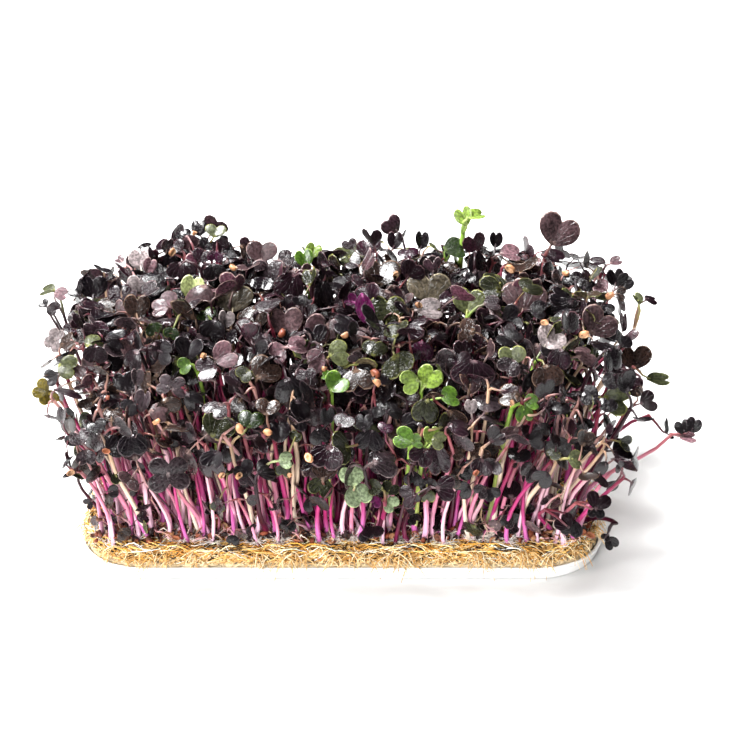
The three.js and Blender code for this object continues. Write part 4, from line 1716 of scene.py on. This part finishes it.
    def fringe(self, finish: Material) -> None:
        """Loose ends: fibres that leave the mat's side above the tray's lip, arch over it and
        droop, the shorter the more of them.

        Out from the rim a fibre runs reach t - 1.3 (1 - t), and its height is
        start + rise sin(180° t) - droop t², held above the lip, and above the floor past it.
        """
        rng = np.random.default_rng(self.seed + 1)
        rim, out = round_rectangle(self.length, self.depth, self.corner, self.starts)
        count = self.loose
        at = rng.integers(0, len(rim), count)
        away, steps = out[at], np.linspace(0, 1, 5)
        tangent = np.column_stack([-away[:, 1], away[:, 0]])[:, None]
        clumped = 0.85 + 0.85 * ripples(np.column_stack([rim[at], np.zeros(count)]), 13.0, 8)
        reach = (1.0 + 3.3 * rng.random(count) ** 1.1) * np.clip(clumped, 0.2, 1.15)
        drift = rng.normal(0, self.loose_drift, count)[:, None]
        start = rng.uniform(*self.loose_start, count)[:, None]
        droop = rng.uniform(*self.loose_droop, count) * reach
        run = reach[:, None] * steps - 1.3 * (1 - steps)
        plan = rim[at][:, None] + away[:, None] * run[..., None]
        plan = plan + tangent * (drift * (steps - 0.3))[..., None]
        rise = (reach * rng.uniform(0, 0.3, count))[:, None]
        z = start + rise * np.sin(steps * math.pi) - droop[:, None] * steps**2
        z = np.maximum(z, np.where(run > self.lip, 1.6, 5.4))
        paths = np.concatenate([plan, z[..., None]], -1)
        shades = linear([(232, 196, 136), (246, 228, 190), (206, 156, 84)])
        tone = np.repeat(shades[rng.integers(0, 3, count)][:, None], len(steps), 1)
        radii = rng.uniform(*self.loose_radius, count)[:, None] * (1 - 0.4 * steps)
        place(tubes(paths, radii, 3, tone, 1.0).mesh("mat_fringe"), finish, "mat_fibre", "growing_mat")

    def held(self, plan: Array) -> Array:
        """Keeps places within the mat's outline and its fuzz, by pulling what lies outside the
        rounded rectangle back to it."""
        half = np.array([self.length / 2 - self.corner, self.depth / 2 - self.corner])
        core = np.clip(plan, -half, half)
        off = plan - core
        far = np.linalg.norm(off, axis=-1, keepdims=True)
        return core + off * np.minimum(1, (self.corner + self.fuzz) / np.maximum(far, 1e-6))


# ---------------------------------------------------------------- studio


@dataclass
class Studio:
    """Plain white ground, soft light from above and the front, and the camera."""

    sight: Sight = Sight()
    ground_reach: float = 30.0

    def build(self, ground: Material) -> None:
        """Makes the floor, the lights and the camera."""
        scene = bpy.context.scene
        data = bpy.data.meshes.new("ground")
        r = self.ground_reach
        data.from_pydata([(-r, -r, 0), (r, -r, 0), (r, r, 0), (-r, r, 0)], [], [(0, 1, 2, 3)])
        floor = bpy.data.objects.new("ground", data)
        scene.collection.objects.link(floor)
        data.materials.append(ground)
        world = bpy.data.worlds.new("studio_air")
        scene.world = world
        world.use_nodes = True
        self.air(world.node_tree)
        world.cycles_visibility.glossy = False
        self.lamp("top_softbox", (-0.35, 0.25, 1.1), (0, 0, 0.04), size=0.38, power=48.0)
        self.lamp("back_softbox", (0.25, 1.2, 0.75), (0, 0, 0.04), size=0.35, power=13.0, glint=False)
        self.lamp("front_softbox", (-0.45, -1.1, 0.42), (0, 0, 0.03), size=0.4, power=19.0, glint=False)
        self.lamp("side_softbox", (-1.0, -0.5, 0.7), (0, 0, 0.04), size=0.26, power=10.0)
        sun = bpy.data.lights.new("even_light", "SUN")
        sun.energy, sun.angle = 1.48, math.radians(60)
        even = bpy.data.objects.new("even_light", sun)
        even.rotation_euler = (math.radians(-18), math.radians(-14), 0)
        even.visible_glossy = False
        scene.collection.objects.link(even)
        camera = bpy.data.cameras.new("view")
        camera.lens, camera.sensor_width = self.sight.lens, self.sight.sensor
        camera.clip_start = 0.01
        eye = bpy.data.objects.new("view", camera)
        eye.location = [c * MM for c in self.sight.eye]
        eye.rotation_euler = (math.radians(90 - self.sight.down), 0, 0)
        scene.collection.objects.link(eye)
        scene.camera = eye
        scene.view_settings.view_transform = "Standard"

    def air(self, tree: bpy.types.NodeTree) -> None:
        """Lights the air: white all round at eye level, as a white studio is, and dimmer above."""
        nodes, links = tree.nodes, tree.links
        way = nodes.new("ShaderNodeTexCoord")
        split = nodes.new("ShaderNodeSeparateXYZ")
        fall = nodes.new("ShaderNodeMapRange")
        fall.interpolation_type = "SMOOTHSTEP"
        for key, value in {"From Min": 0.06, "From Max": 0.4, "To Min": 1.0, "To Max": 0.12}.items():
            fall.inputs[key].default_value = value
        links.new(way.outputs["Generated"], split.inputs[0])
        links.new(split.outputs[2], fall.inputs["Value"])
        links.new(fall.outputs[0], nodes["Background"].inputs["Strength"])
        nodes["Background"].inputs["Color"].default_value = (1.0, 1.0, 1.0, 1)

    def lamp(self, name: str, at: Spot, to: Spot, size: float, power: float, glint: bool = True) -> None:
        """Adds a square softbox that faces a point.

        Args:
            name: its name.
            at: its place, in metres.
            to: what it faces, in metres.
            size: its side, in metres.
            power: its power in watts.
            glint: whether glossy skins mirror it.
        """
        light = bpy.data.lights.new(name, "AREA")
        light.shape, light.size, light.energy = "SQUARE", size, power
        lamp = bpy.data.objects.new(name, light)
        lamp.location = at
        back = unit(np.array(at) - np.array(to))
        lamp.rotation_euler = (math.acos(back[2]), 0, math.atan2(back[1], back[0]) + math.pi / 2)
        lamp.visible_glossy = glint
        bpy.context.scene.collection.objects.link(lamp)


# The told sprouts: each row is a stem's tone, its leaves' fields in the order of Leaf, and at the
# end, where there is more to say, fields of Plant by their names.
T, S = Tone, StemTone
TOLD: tuple[tuple[Any, ...], ...] = (
    # loose sprouts, each in place of its own node
    (S.LEAFY, (463, 214, 19, -27, T.LIME, 34, -16, 0.45, 0.2, 1.25, 47),
     (477, 215, 18, 72, T.LIME, 70, 10, 0.4, 0.1, 1.25, 46),
     {"node": "sprout_tall_green", "root": (42, 52), "head": (43.3, 47, 82.5), "stout": 1.7}),
    (S.ROSE, (560, 227, 43, 25, T.DUSK, 24, 0, 0.1, 0.06, 0.86, 45),
     (555, 257, 25, 110, T.PLUM, 80, 0, 0.3, 0.2, 1.1, 45),
     {"node": "sprout_tall_purple", "root": (66, 50), "head": (73.3, 46, 73.4), "stout": 1.7, "shown": 13}),
    (S.MAGENTA, (199, 226, 17, 0, T.NIGHT, 20, 0, -0.3, 0.5, 1.1, 52),
     (216, 229, 22, 10, T.MOSS, 50, 0, 0.1, 0.1, 0.8, 50),
     {"node": "sprout_back_left", "root": (-50, 52), "head": (-49, 52, 76)}),
    (S.WINE, (46, 289, 22, -80, T.MOSS, 80, 0, 0.1, 0.3, 0.8, 24),
     (62, 294, 19, 95, T.MAUVE, 66, 0, 0.2, 0.2, 0.8, 22),
     {"node": "sprout_left_high", "root": (-82, 18), "head": (-99, 22, 61)}),
    (S.ROSE, (40, 388, 22, -62, T.AMBER, 34, 0, 0.1, 0.1, 0.8, -24),
     (49, 399, 21, 170, T.AMBER, 30, 0, 0.1, 0.1, 0.8, -25),
     {"node": "sprout_left_low", "root": (-82, -16), "head": (-93, -21, 46)}),
    (S.CREAM, (637, 297, 11, -10, T.MOSS, 30, 30, 0.9, 0.3, 1.3, 22),
     (652, 298, 18, 84, T.PLUM, 80, 0, -0.2, 0.3, 0.8, 22),
     {"node": "sprout_right_high", "root": (82, 20), "head": (104, 23, 56)}),
    (S.ROSE, (661, 379, 17, 98, T.MOSS, 62, 10, 0.1, 0.1, 1.6, -10),
     (634, 354, 36, 2, T.BROWN, 30, 0, 0.25, 0.1, 0.8, -7),
     {"node": "sprout_right_middle", "root": (82, -4), "head": (99, -9, 55)}),
    (S.ROSE, (683, 426, 17, -18, T.NIGHT, 20, 0, -0.3, 0.4, 1.0, -30),
     (695, 424, 17, 22, T.NIGHT, 20, 0, -0.3, 0.4, 1.0, -30),
     (690, 437, 24, 92, T.MAUVE, 86, 0, 0.1, 0.1, 0.8, -31),
     {"node": "sprout_right_long", "root": (82, -28), "head": (110, -30, 40)}),
    (S.MAGENTA, (666, 424, 8, 4, T.NIGHT, 10, 50, 0.4, 0.1, 2.4, -18),
     (672, 436, 9, 100, T.PLUM, 70, 0, 0.1, 0.1, 0.8, -19),
     {"node": "sprout_right_reaching", "root": (82, -16), "head": (104, -18, 41)}),
    (S.WINE, (612, 544, 15, 150, T.NIGHT, 28, 0, 0.5, 0.2, 1.0, -50),
     (605, 538, 10, 220, T.NIGHT, 40, 0, 0.2, 0.2, 0.8, -50),
     {"node": "sprout_right_drooping", "root": (81, -38), "head": (89, -49.5, 17)}),
    # the left end, from the top down
    (S.MAGENTA, (189, 243, 19, 160, T.MAUVE, 30, 0, -0.3, 0.5, 0.8, 50),
     (208, 243, 18, 30, T.NIGHT, 36, 0, 0.2, 0.2, 0.8, 49)),
    (S.MAGENTA, (221, 246, 18, 150, T.PLUM, 30, 0, 0.4, 0.2, 0.8, 47),
     (231, 252, 19, 70, T.NIGHT, 60, 0, 0.2, 0.2, 0.8, 46)),
    (S.ROSE, (176, 246, 18, -60, T.PLUM, 50, 0, 0.2, 0.2, 0.8, 48),
     (168, 262, 20, 200, T.NIGHT, 40, 0, -0.3, 0.4, 0.8, 46)),
    (S.WINE, (178, 272, 24, 190, T.PLUM, 34, 0, 0.1, 0.3), (215, 274, 24, 170, T.NIGHT, 30, 0, 0.2, 0.3)),
    (S.MAGENTA, (183, 233, 16, -20, T.NIGHT, 30, 0, -0.5, 0.5), (202, 254, 20, 20, T.PLUM, 30, 0, 0.1, 0.2)),
    (S.MAGENTA, (215, 258, 17, 200, T.PRUNE, 30, 10, 0.4, 0.1), (226, 242, 17, 60, T.NIGHT, 50)),
    (S.LEAFY, (140, 256, 24, -4, T.PALE, 34, 0, 0.3, 0.2, 1.05),
     (150, 264, 14, 30, T.MAUVE, 24, 20, 0.3, 0.1, 1.3)),
    (S.ROSE, (139, 282, 26, 0, T.PALE, 30, 0, -0.2, 0.2, 0.9), (119, 259, 13, -60, T.MAUVE, 60)),
    (S.WINE, (93, 284, 31, 0, T.NIGHT, 28, 0, 0.1, 0.05, 0.85),
     (76, 290, 18, -40, T.NIGHT, 40, -20, 0.5, 0.2)),
    (S.CREAM, (119, 291, 25, -6, T.PLUM, 36, 0, -0.2, 0.25, 0.95),
     (111, 319, 20, 8, T.NIGHT, 50, 0, -0.4, 0.4)),
    (S.CREAM, (137, 303, 27, 3, T.BROWN, 26, 0, 0.1, 0.1, 1.0), (154, 330, 18, 150, T.FERN, 40)),
    (S.ROSE, (170, 300, 25, 96, T.MAUVE, 66, 0, 0.1, 0.2), (158, 308, 24, 262, T.MAUVE, 62, 0, 0.1, 0.2)),
    (S.CREAM, (193, 285, 24, 12, T.CREAM, 24, 0, 0.3, 0.0, 1.15),
     (171, 334, 17, 200, T.FERN, 36, 0, 0.2, 0.2)),
    (S.WINE, (43, 303, 12, -50, T.NIGHT, 50, 0, 0.12, 0.12, 0.8, 8),
     (54, 309, 17, 120, T.PLUM, 50, 0, 0.12, 0.12, 0.8, 6),
     {"node": "sprout_left_high", "root": (-83, 16), "head": (-96, 10, 55)}),
    (S.ROSE, (57, 333, 18, 10, T.PALE, 40, -20, 0.12, 0.12, 0.8, 0),
     (52, 345, 21, 205, T.PALE, 30, -20, 0.12, 0.12, 0.8, -2), {"root": (-77, 1), "head": (-88, 0, 57)}),
    (S.ROSE, (96, 341, 27, 60, T.MOSS, 60, 0, -0.3, 0.3), (95, 356, 26, 185, T.PLUM, 34, 0, 0.1, 0.2)),
    (S.MAGENTA, (69, 367, 27, 95, T.MOSS, 50, -10, 0.1, 0.2), (50, 378, 19, 240, T.NIGHT, 36, -10)),
    (S.WINE, (124, 379, 25, -8, T.NIGHT, 30, 0, -0.4, 0.1, 0.95),
     (137, 375, 15, 22, T.SMOKE, 24, 40, 0.4, 0.1, 1.3)),
    (S.MAGENTA, (163, 384, 22, -70, T.SMOKE, 34, 0, -0.1, 0.2),
     (181, 387, 22, 75, T.SMOKE, 34, 0, -0.1, 0.2)),
    (S.MAGENTA, (227, 354, 30, 60, T.MAUVE, 40, 0, 0.2, 0.1, 0.9), (204, 370, 30, 255, T.PLUM, 58)),
    (S.WINE, (206, 312, 21, -30, T.FERN, 50, 0, -0.3, 0.3), (212, 331, 27, 190, T.NIGHT, 36, 0, 0.2, 0.3)),
    (S.LEAFY, (190, 347, 30, 10, T.NIGHT, 44, 0, 0.7, -0.2), (183, 366, 19, 250, T.GREEN, 50, 0, 0.2, 0.3)),
    (S.CREAM, (226, 317, 18, 20, T.PALE, 24, 30, 0.5, 0.1, 1.1),
     (233, 295, 41, 0, T.ASH, 36, 0, -0.1, 0.2, 0.78)),
    (S.ROSE, (144, 398, 20, 0, T.SMOKE, 20, -30, 0.5, 0.1, 1.3), (128, 408, 20, 230, T.NIGHT, 40)),
    # the middle, from the top down
    (S.WINE, (262, 249, 32, 5, T.DUSK, 36), (287, 258, 22, 80, T.SMOKE, 60)),
    (S.WINE, (268, 268, 36, 0, T.SMOKE, 30, 0, 0.1, 0.2), (262, 285, 26, 190, T.NIGHT, 70)),
    (S.LEAFY, (304, 256, 19, -12, T.GREEN, 30, 0, 0.5, 0.1, 1.1),
     (314, 249, 17, 20, T.LIME, 40, 0, 0.3, 0.1, 1.1)),
    (S.WINE, (288, 288, 31, 205, T.PLUM, 34, 0, -0.2, 0.3, 1.0),
     (324, 295, 20, 185, T.NIGHT, 40, 20, 0.2, 0.5, 1.4)),
    (S.MAGENTA, (285, 318, 37, -4, T.DUSK, 28, 0, 0.15, 0.1, 0.88),
     (300, 345, 28, 75, T.MAUVE, 72, 0, 0.2, 0.2)),
    (S.CREAM, (380, 269, 43, 3, T.BROWN, 48, 0, 0.2, 0.25, 0.85), (352, 262, 20, -60, T.PLUM, 60)),
    (S.WINE, (368, 311, 20, 146, T.VIOLET, 24, -30, 0.9, 0.1, 1.8),
     (350, 300, 15, 300, T.VIOLET, 50, 0, 0.6, 0.1)),
    (S.WINE, (387, 305, 38, 0, T.OLIVE, 34, 0, -0.15, 0.25, 0.86),
     (375, 345, 27, 10, T.OLIVE, 40, 0, -0.5, 0.5)),
    (S.ROSE, (314, 361, 27, 262, T.MAUVE, 40, 0, -0.1, 0.2), (341, 352, 29, 76, T.MOSS, 40, 0, -0.1, 0.3)),
    (S.LEAFY, (338, 381, 26, 40, T.GREEN, 36, 0, 0.5, 0.3, 0.9),
     (325, 375, 12, 280, T.GREEN, 60, 0, 0.4, 0.3)),
    (S.WINE, (267, 367, 35, 40, T.BROWN, 40, 0, -0.1, 0.2), (243, 375, 20, 230, T.OLIVE, 50)),
    (S.WINE, (429, 283, 45, 0, T.ASH, 34, 0, -0.1, 0.2, 0.78),
     (433, 309, 32, 84, T.PALE, 70, 0, 0.1, 0.1, 0.9)),
    (S.LEAFY, (469, 298, 33, 6, T.MOSS, 34, -6, 0.2, 0.1, 0.9), (494, 303, 24, 86, T.SMOKE, 74, 0, 0.1, 0.1)),
    (S.MAGENTA, (525, 293, 48, 8, T.DUSK, 34, 0, -0.1, 0.25, 0.76), (540, 310, 24, 100, T.NIGHT, 60)),
    (S.WINE, (478, 266, 19, 170, T.NIGHT, 24, 0, -0.5, 0.4, 1.5), (470, 278, 14, 240, T.NIGHT, 50)),
    (S.LEAFY, (457, 249, 30, 85, T.FERN, 66, 0, 0.3, 0.2, 0.8),
     (448, 245, 14, -70, T.GREEN, 60, 0, 0.2, 0.2)),
    (S.MAGENTA, (408, 250, 22, -10, T.PRUNE, 50, 0, -0.2, 0.5),
     (422, 238, 15, 14, T.NIGHT, 24, 20, 0.3, 0.1, 1.4)),
    (S.WINE, (395, 238, 16, 0, T.PLUM, 20, -10, 0.2, 0.1, 1.3), (349, 243, 16, -20, T.SMOKE, 36)),
    (S.WINE, (496, 238, 14, 6, T.NIGHT, 20, 10, 0.4, 0.1, 1.3), (513, 253, 30, 88, T.MAUVE, 76, 0, 0.2, 0.2)),
    (S.MAGENTA, (512, 353, 29, 0, T.MOSS, 44, 10, 0.1, 0.1), (508, 368, 26, 215, T.SMOKE, 50)),
    (S.LEAFY, (553, 336, 32, 40, T.PALE, 44, 0, 0.2, 0.2, 0.9),
     (548, 378, 33, 170, T.BROWN, 44, 0, 0.1, 0.3)),
    (S.WINE, (473, 375, 46, 184, T.PLUM, 34, 0, -0.1, 0.2, 0.62),
     (459, 355, 26, 10, T.PLUM, 40, 0, -0.3, 0.4)),
    (S.MAGENTA, (421, 352, 26, 180, T.PRUNE, 40, 0, -0.4, 0.6),
     (438, 331, 22, 20, T.NIGHT, 50, 0, -0.6, 0.6)),
    (S.LEAFY, (431, 375, 27, 30, T.LIME, 26, 0, 0.1, 0.1, 0.95),
     (408, 383, 25, 252, T.LIME, 30, 0, 0.3, 0.1, 0.85)),
    (S.LEAFY, (452, 396, 26, 80, T.GREEN, 62, 0, 0.2, 0.3),
     (425, 413, 28, 190, T.OLIVE, 34, 0, -0.2, 0.3, 0.95)),
    (S.WINE, (379, 406, 23, -60, T.NIGHT, 44, 0, -0.6, 0.5), (394, 407, 23, 60, T.NIGHT, 44, 0, -0.6, 0.5)),
    (S.LEAFY, (533, 402, 21, 88, T.GREEN, 66, 0, 0.2, 0.2),
     (525, 415, 19, 170, T.GREEN, 36, 0, -0.4, 0.3, 1.0)),
    (S.MAGENTA, (488, 400, 30, 10, T.SMOKE, 50, 0, -0.3, 0.3),
     (471, 405, 13, 0, T.PALE, 20, 0, 0.2, 0.1, 1.3)),
    # the right end, from the top down
    (S.MAGENTA, (596, 262, 20, -86, T.PLUM, 84, 0, 0.2, 0.1, 0.9),
     (617, 262, 17, 80, T.MAUVE, 78, 0, 0.2, -0.2)),
    (S.ROSE, (615, 275, 18, -6, T.NIGHT, 24, 0, 0.3, 0.1, 1.15),
     (626, 281, 18, 52, T.NIGHT, 26, 0, 0.4, 0.1, 1.1)),
    (S.WINE, (622, 294, 15, 100, T.BROWN, 40), (600, 286, 20, -60, T.MAUVE, 60)),
    (S.WINE, (573, 276, 22, -20, T.NIGHT, 40, 0, -0.4, 0.4), (587, 283, 21, 30, T.NIGHT, 40, 0, -0.4, 0.4)),
    (S.LEAFY, (601, 320, 40, 38, T.DUSK, 28, 0, 0.1, 0.1, 0.82), (610, 312, 21, 96, T.NIGHT, 60)),
    (S.MAGENTA, (588, 352, 30, 60, T.DUSK, 60, 0, -0.5, 0.4),
     (559, 361, 24, 190, T.PLUM, 36, 0, 0.2, 0.2, 1.0)),
    (S.WINE, (614, 362, 21, 175, T.NIGHT, 30, 30, 0.2, 0.3, 1.3), (612, 381, 24, 100, T.NIGHT, 66)),
    (S.ROSE, (650, 401, 24, 76, T.PLUM, 46, 0, 0.2, 0.1, 0.8, -30),
     (636, 391, 15, -30, T.BROWN, 40, 0, 0.5, 0.3, 0.8, -28), {"root": (76, -27), "head": (94, -31, 49)}),
    (S.MAGENTA, (608, 403, 22, 10, T.NIGHT, 36, 0, -0.5, 0.4), (588, 395, 24, -70, T.NIGHT, 50)),
    (S.MAGENTA, (627, 444, 17, 120, T.OLIVE, 30, 30, 0.7, 0.2, 1.0, -42),
     (612, 434, 16, 300, T.NIGHT, 50, 0, 0.12, 0.12, 0.8, -40), {"root": (76, -40), "head": (86, -43, 44)}),
    (S.CREAM, (577, 459, 21, 95, T.MOSS, 50, 0, 0.1, 0.4), (553, 455, 18, 250, T.OLIVE, 76)),
    (S.MAGENTA, (571, 530, 24, 195, T.NIGHT, 30), (563, 521, 22, 320, T.PLUM, 40),
     {"root": (70, -46), "head": (66, -56, 26)}),
    (S.ROSE, (599, 499, 26, 20, T.PLUM, 40), (596, 514, 18, 190, T.NIGHT, 50),
     {"root": (76, -45), "head": (76, -55, 28)}),
    # the front, under the crown
    (S.CREAM, (220, 423, 36, 30, T.OLIVE, 30, 0, 0.2, 0.1, 0.84),
     (251, 417, 27, 10, T.FERN, 40, 0, -0.2, 0.3)),
    (S.MAGENTA, (279, 429, 23, -4, T.NIGHT, 30, 0, 0.1, 0.2, 1.1), (268, 405, 26, 10, T.BROWN, 50)),
    (S.WINE, (243, 468, 23, -40, T.NIGHT, 36), (267, 468, 25, 60, T.NIGHT, 44, 0, -0.3, 0.3)),
    (S.MAGENTA, (248, 481, 20, 190, T.PLUM, 30), (287, 460, 20, 90, T.SAGE, 56, 0, 0.1, 0.2)),
    (S.MAGENTA, (325, 468, 26, 12, T.BROWN, 32, 0, 0.1, 0.1, 0.9),
     (320, 489, 26, 200, T.OLIVE, 32, 0, 0.1, 0.1, 0.9)),
    (S.ROSE, (352, 473, 27, -12, T.SAGE, 32, 0, 0.1, 0.1, 0.9),
     (359, 497, 29, 158, T.SAGE, 32, 0, 0.1, 0.1, 0.9)),
    (S.MAGENTA, (374, 487, 17, 260, T.OLIVE, 24, -40, 0.5, 0.1, 1.2), (391, 487, 19, 30, T.OLIVE, 34)),
    (S.ROSE, (392, 505, 19, 130, T.SAGE, 40, 0, 0.2, 0.2), (375, 502, 14, 230, T.VIOLET, 40)),
    (S.WINE, (320, 437, 22, 160, T.NIGHT, 40, 0, -0.4, 0.5),
     (326, 414, 17, 10, T.NIGHT, 24, 30, 0.4, -0.2, 1.2)),
    (S.WINE, (369, 442, 30, 190, T.NIGHT, 40, 0, -0.2, 0.3),
     (364, 420, 19, 0, T.NIGHT, 30, 0, -0.5, 0.3, 1.1)),
    (S.LEAFY, (402, 437, 23, 292, T.GREEN, 36, 0, 0.2, 0.1, 1.0),
     (418, 441, 18, 80, T.GREEN, 60, 0, 0.2, 0.2)),
    (S.LEAFY, (431, 433, 18, 8, T.LIME, 24, 20, 0.4, 0.1, 1.2), (440, 441, 20, 110, T.MOSS, 44)),
    (S.MAGENTA, (439, 463, 24, 165, T.PLUM, 24, 0, 0.1, 0.2, 1.5), (420, 458, 26, 215, T.PLUM, 44)),
    (S.ROSE, (413, 480, 20, 190, T.NIGHT, 34, 0, -0.5, 0.4), (386, 426, 17, 20, T.PRUNE, 40, 0, -0.3, 0.4)),
    (S.BLUSH, (480, 492, 17, 230, T.SMOKE, 30, 0, 0.2, 0.1), (493, 495, 18, 150, T.NIGHT, 30, 0, 0.2, 0.2)),
    (S.ROSE, (157, 475, 36, 272, T.SMOKE, 28, 0, 0.15, 0.1, 0.8),
     (181, 473, 34, 82, T.SMOKE, 30, 0, 0.1, 0.1, 0.8)),
    (S.ROSE, (79, 436, 22, -30, T.SMOKE, 34, -10), (86, 459, 22, 170, T.SMOKE, 40, -10)),
    (S.CREAM, (116, 446, 25, 60, T.NIGHT, 36), (96, 425, 22, -30, T.NIGHT, 50)),
    (S.MAGENTA, (520, 452, 24, 10, T.NIGHT, 44, 0, -0.4, 0.4), (538, 440, 22, 80, T.NIGHT, 50)),
)


def told_plants() -> list[Plant]:
    """The told sprouts, in the order of their rows."""
    plants = []
    for stem, *fields in TOLD:
        more = fields.pop() if isinstance(fields[-1], dict) else {}
        plants.append(Plant(tuple(Leaf(*leaf) for leaf in fields), stem, **more))
    return plants


def main() -> None:
    """Builds the studio, the tray, the mat, the sprouts and the litter."""
    logging.basicConfig(level=logging.INFO, format="%(name)s: %(message)s")
    Studio().build(FloorFinish().material())
    Tray().build(PlasticFinish().material())
    mat = Mat()
    mat.heart(MatFinish().material())
    fibre = FleckFinish("fibre", roughness=0.62, scale=1400.0, fleck=0.3, relief=0.0001).material()
    mat.tangle(fibre)
    mat.fringe(fibre)
    stand = Stand()
    for plan in told_plants():
        stand.plant(plan)
    stand.fill()
    stand.undergrow()
    Plants(stand).build(LeafFinish().material(), StemFinish().material())
    litter = Litter()
    hull = FleckFinish("dry_hull", roughness=0.5, scale=900.0, fleck=0.35, relief=0.00012).material()
    root = FleckFinish("root_skin", roughness=0.45, scale=1200.0, fleck=0.12, relief=0.00005).material()
    litter.hulls(stand, hull)
    litter.roots(stand, root)
    litter.hairs(stand, root)


if __name__ == "__main__":
    main()
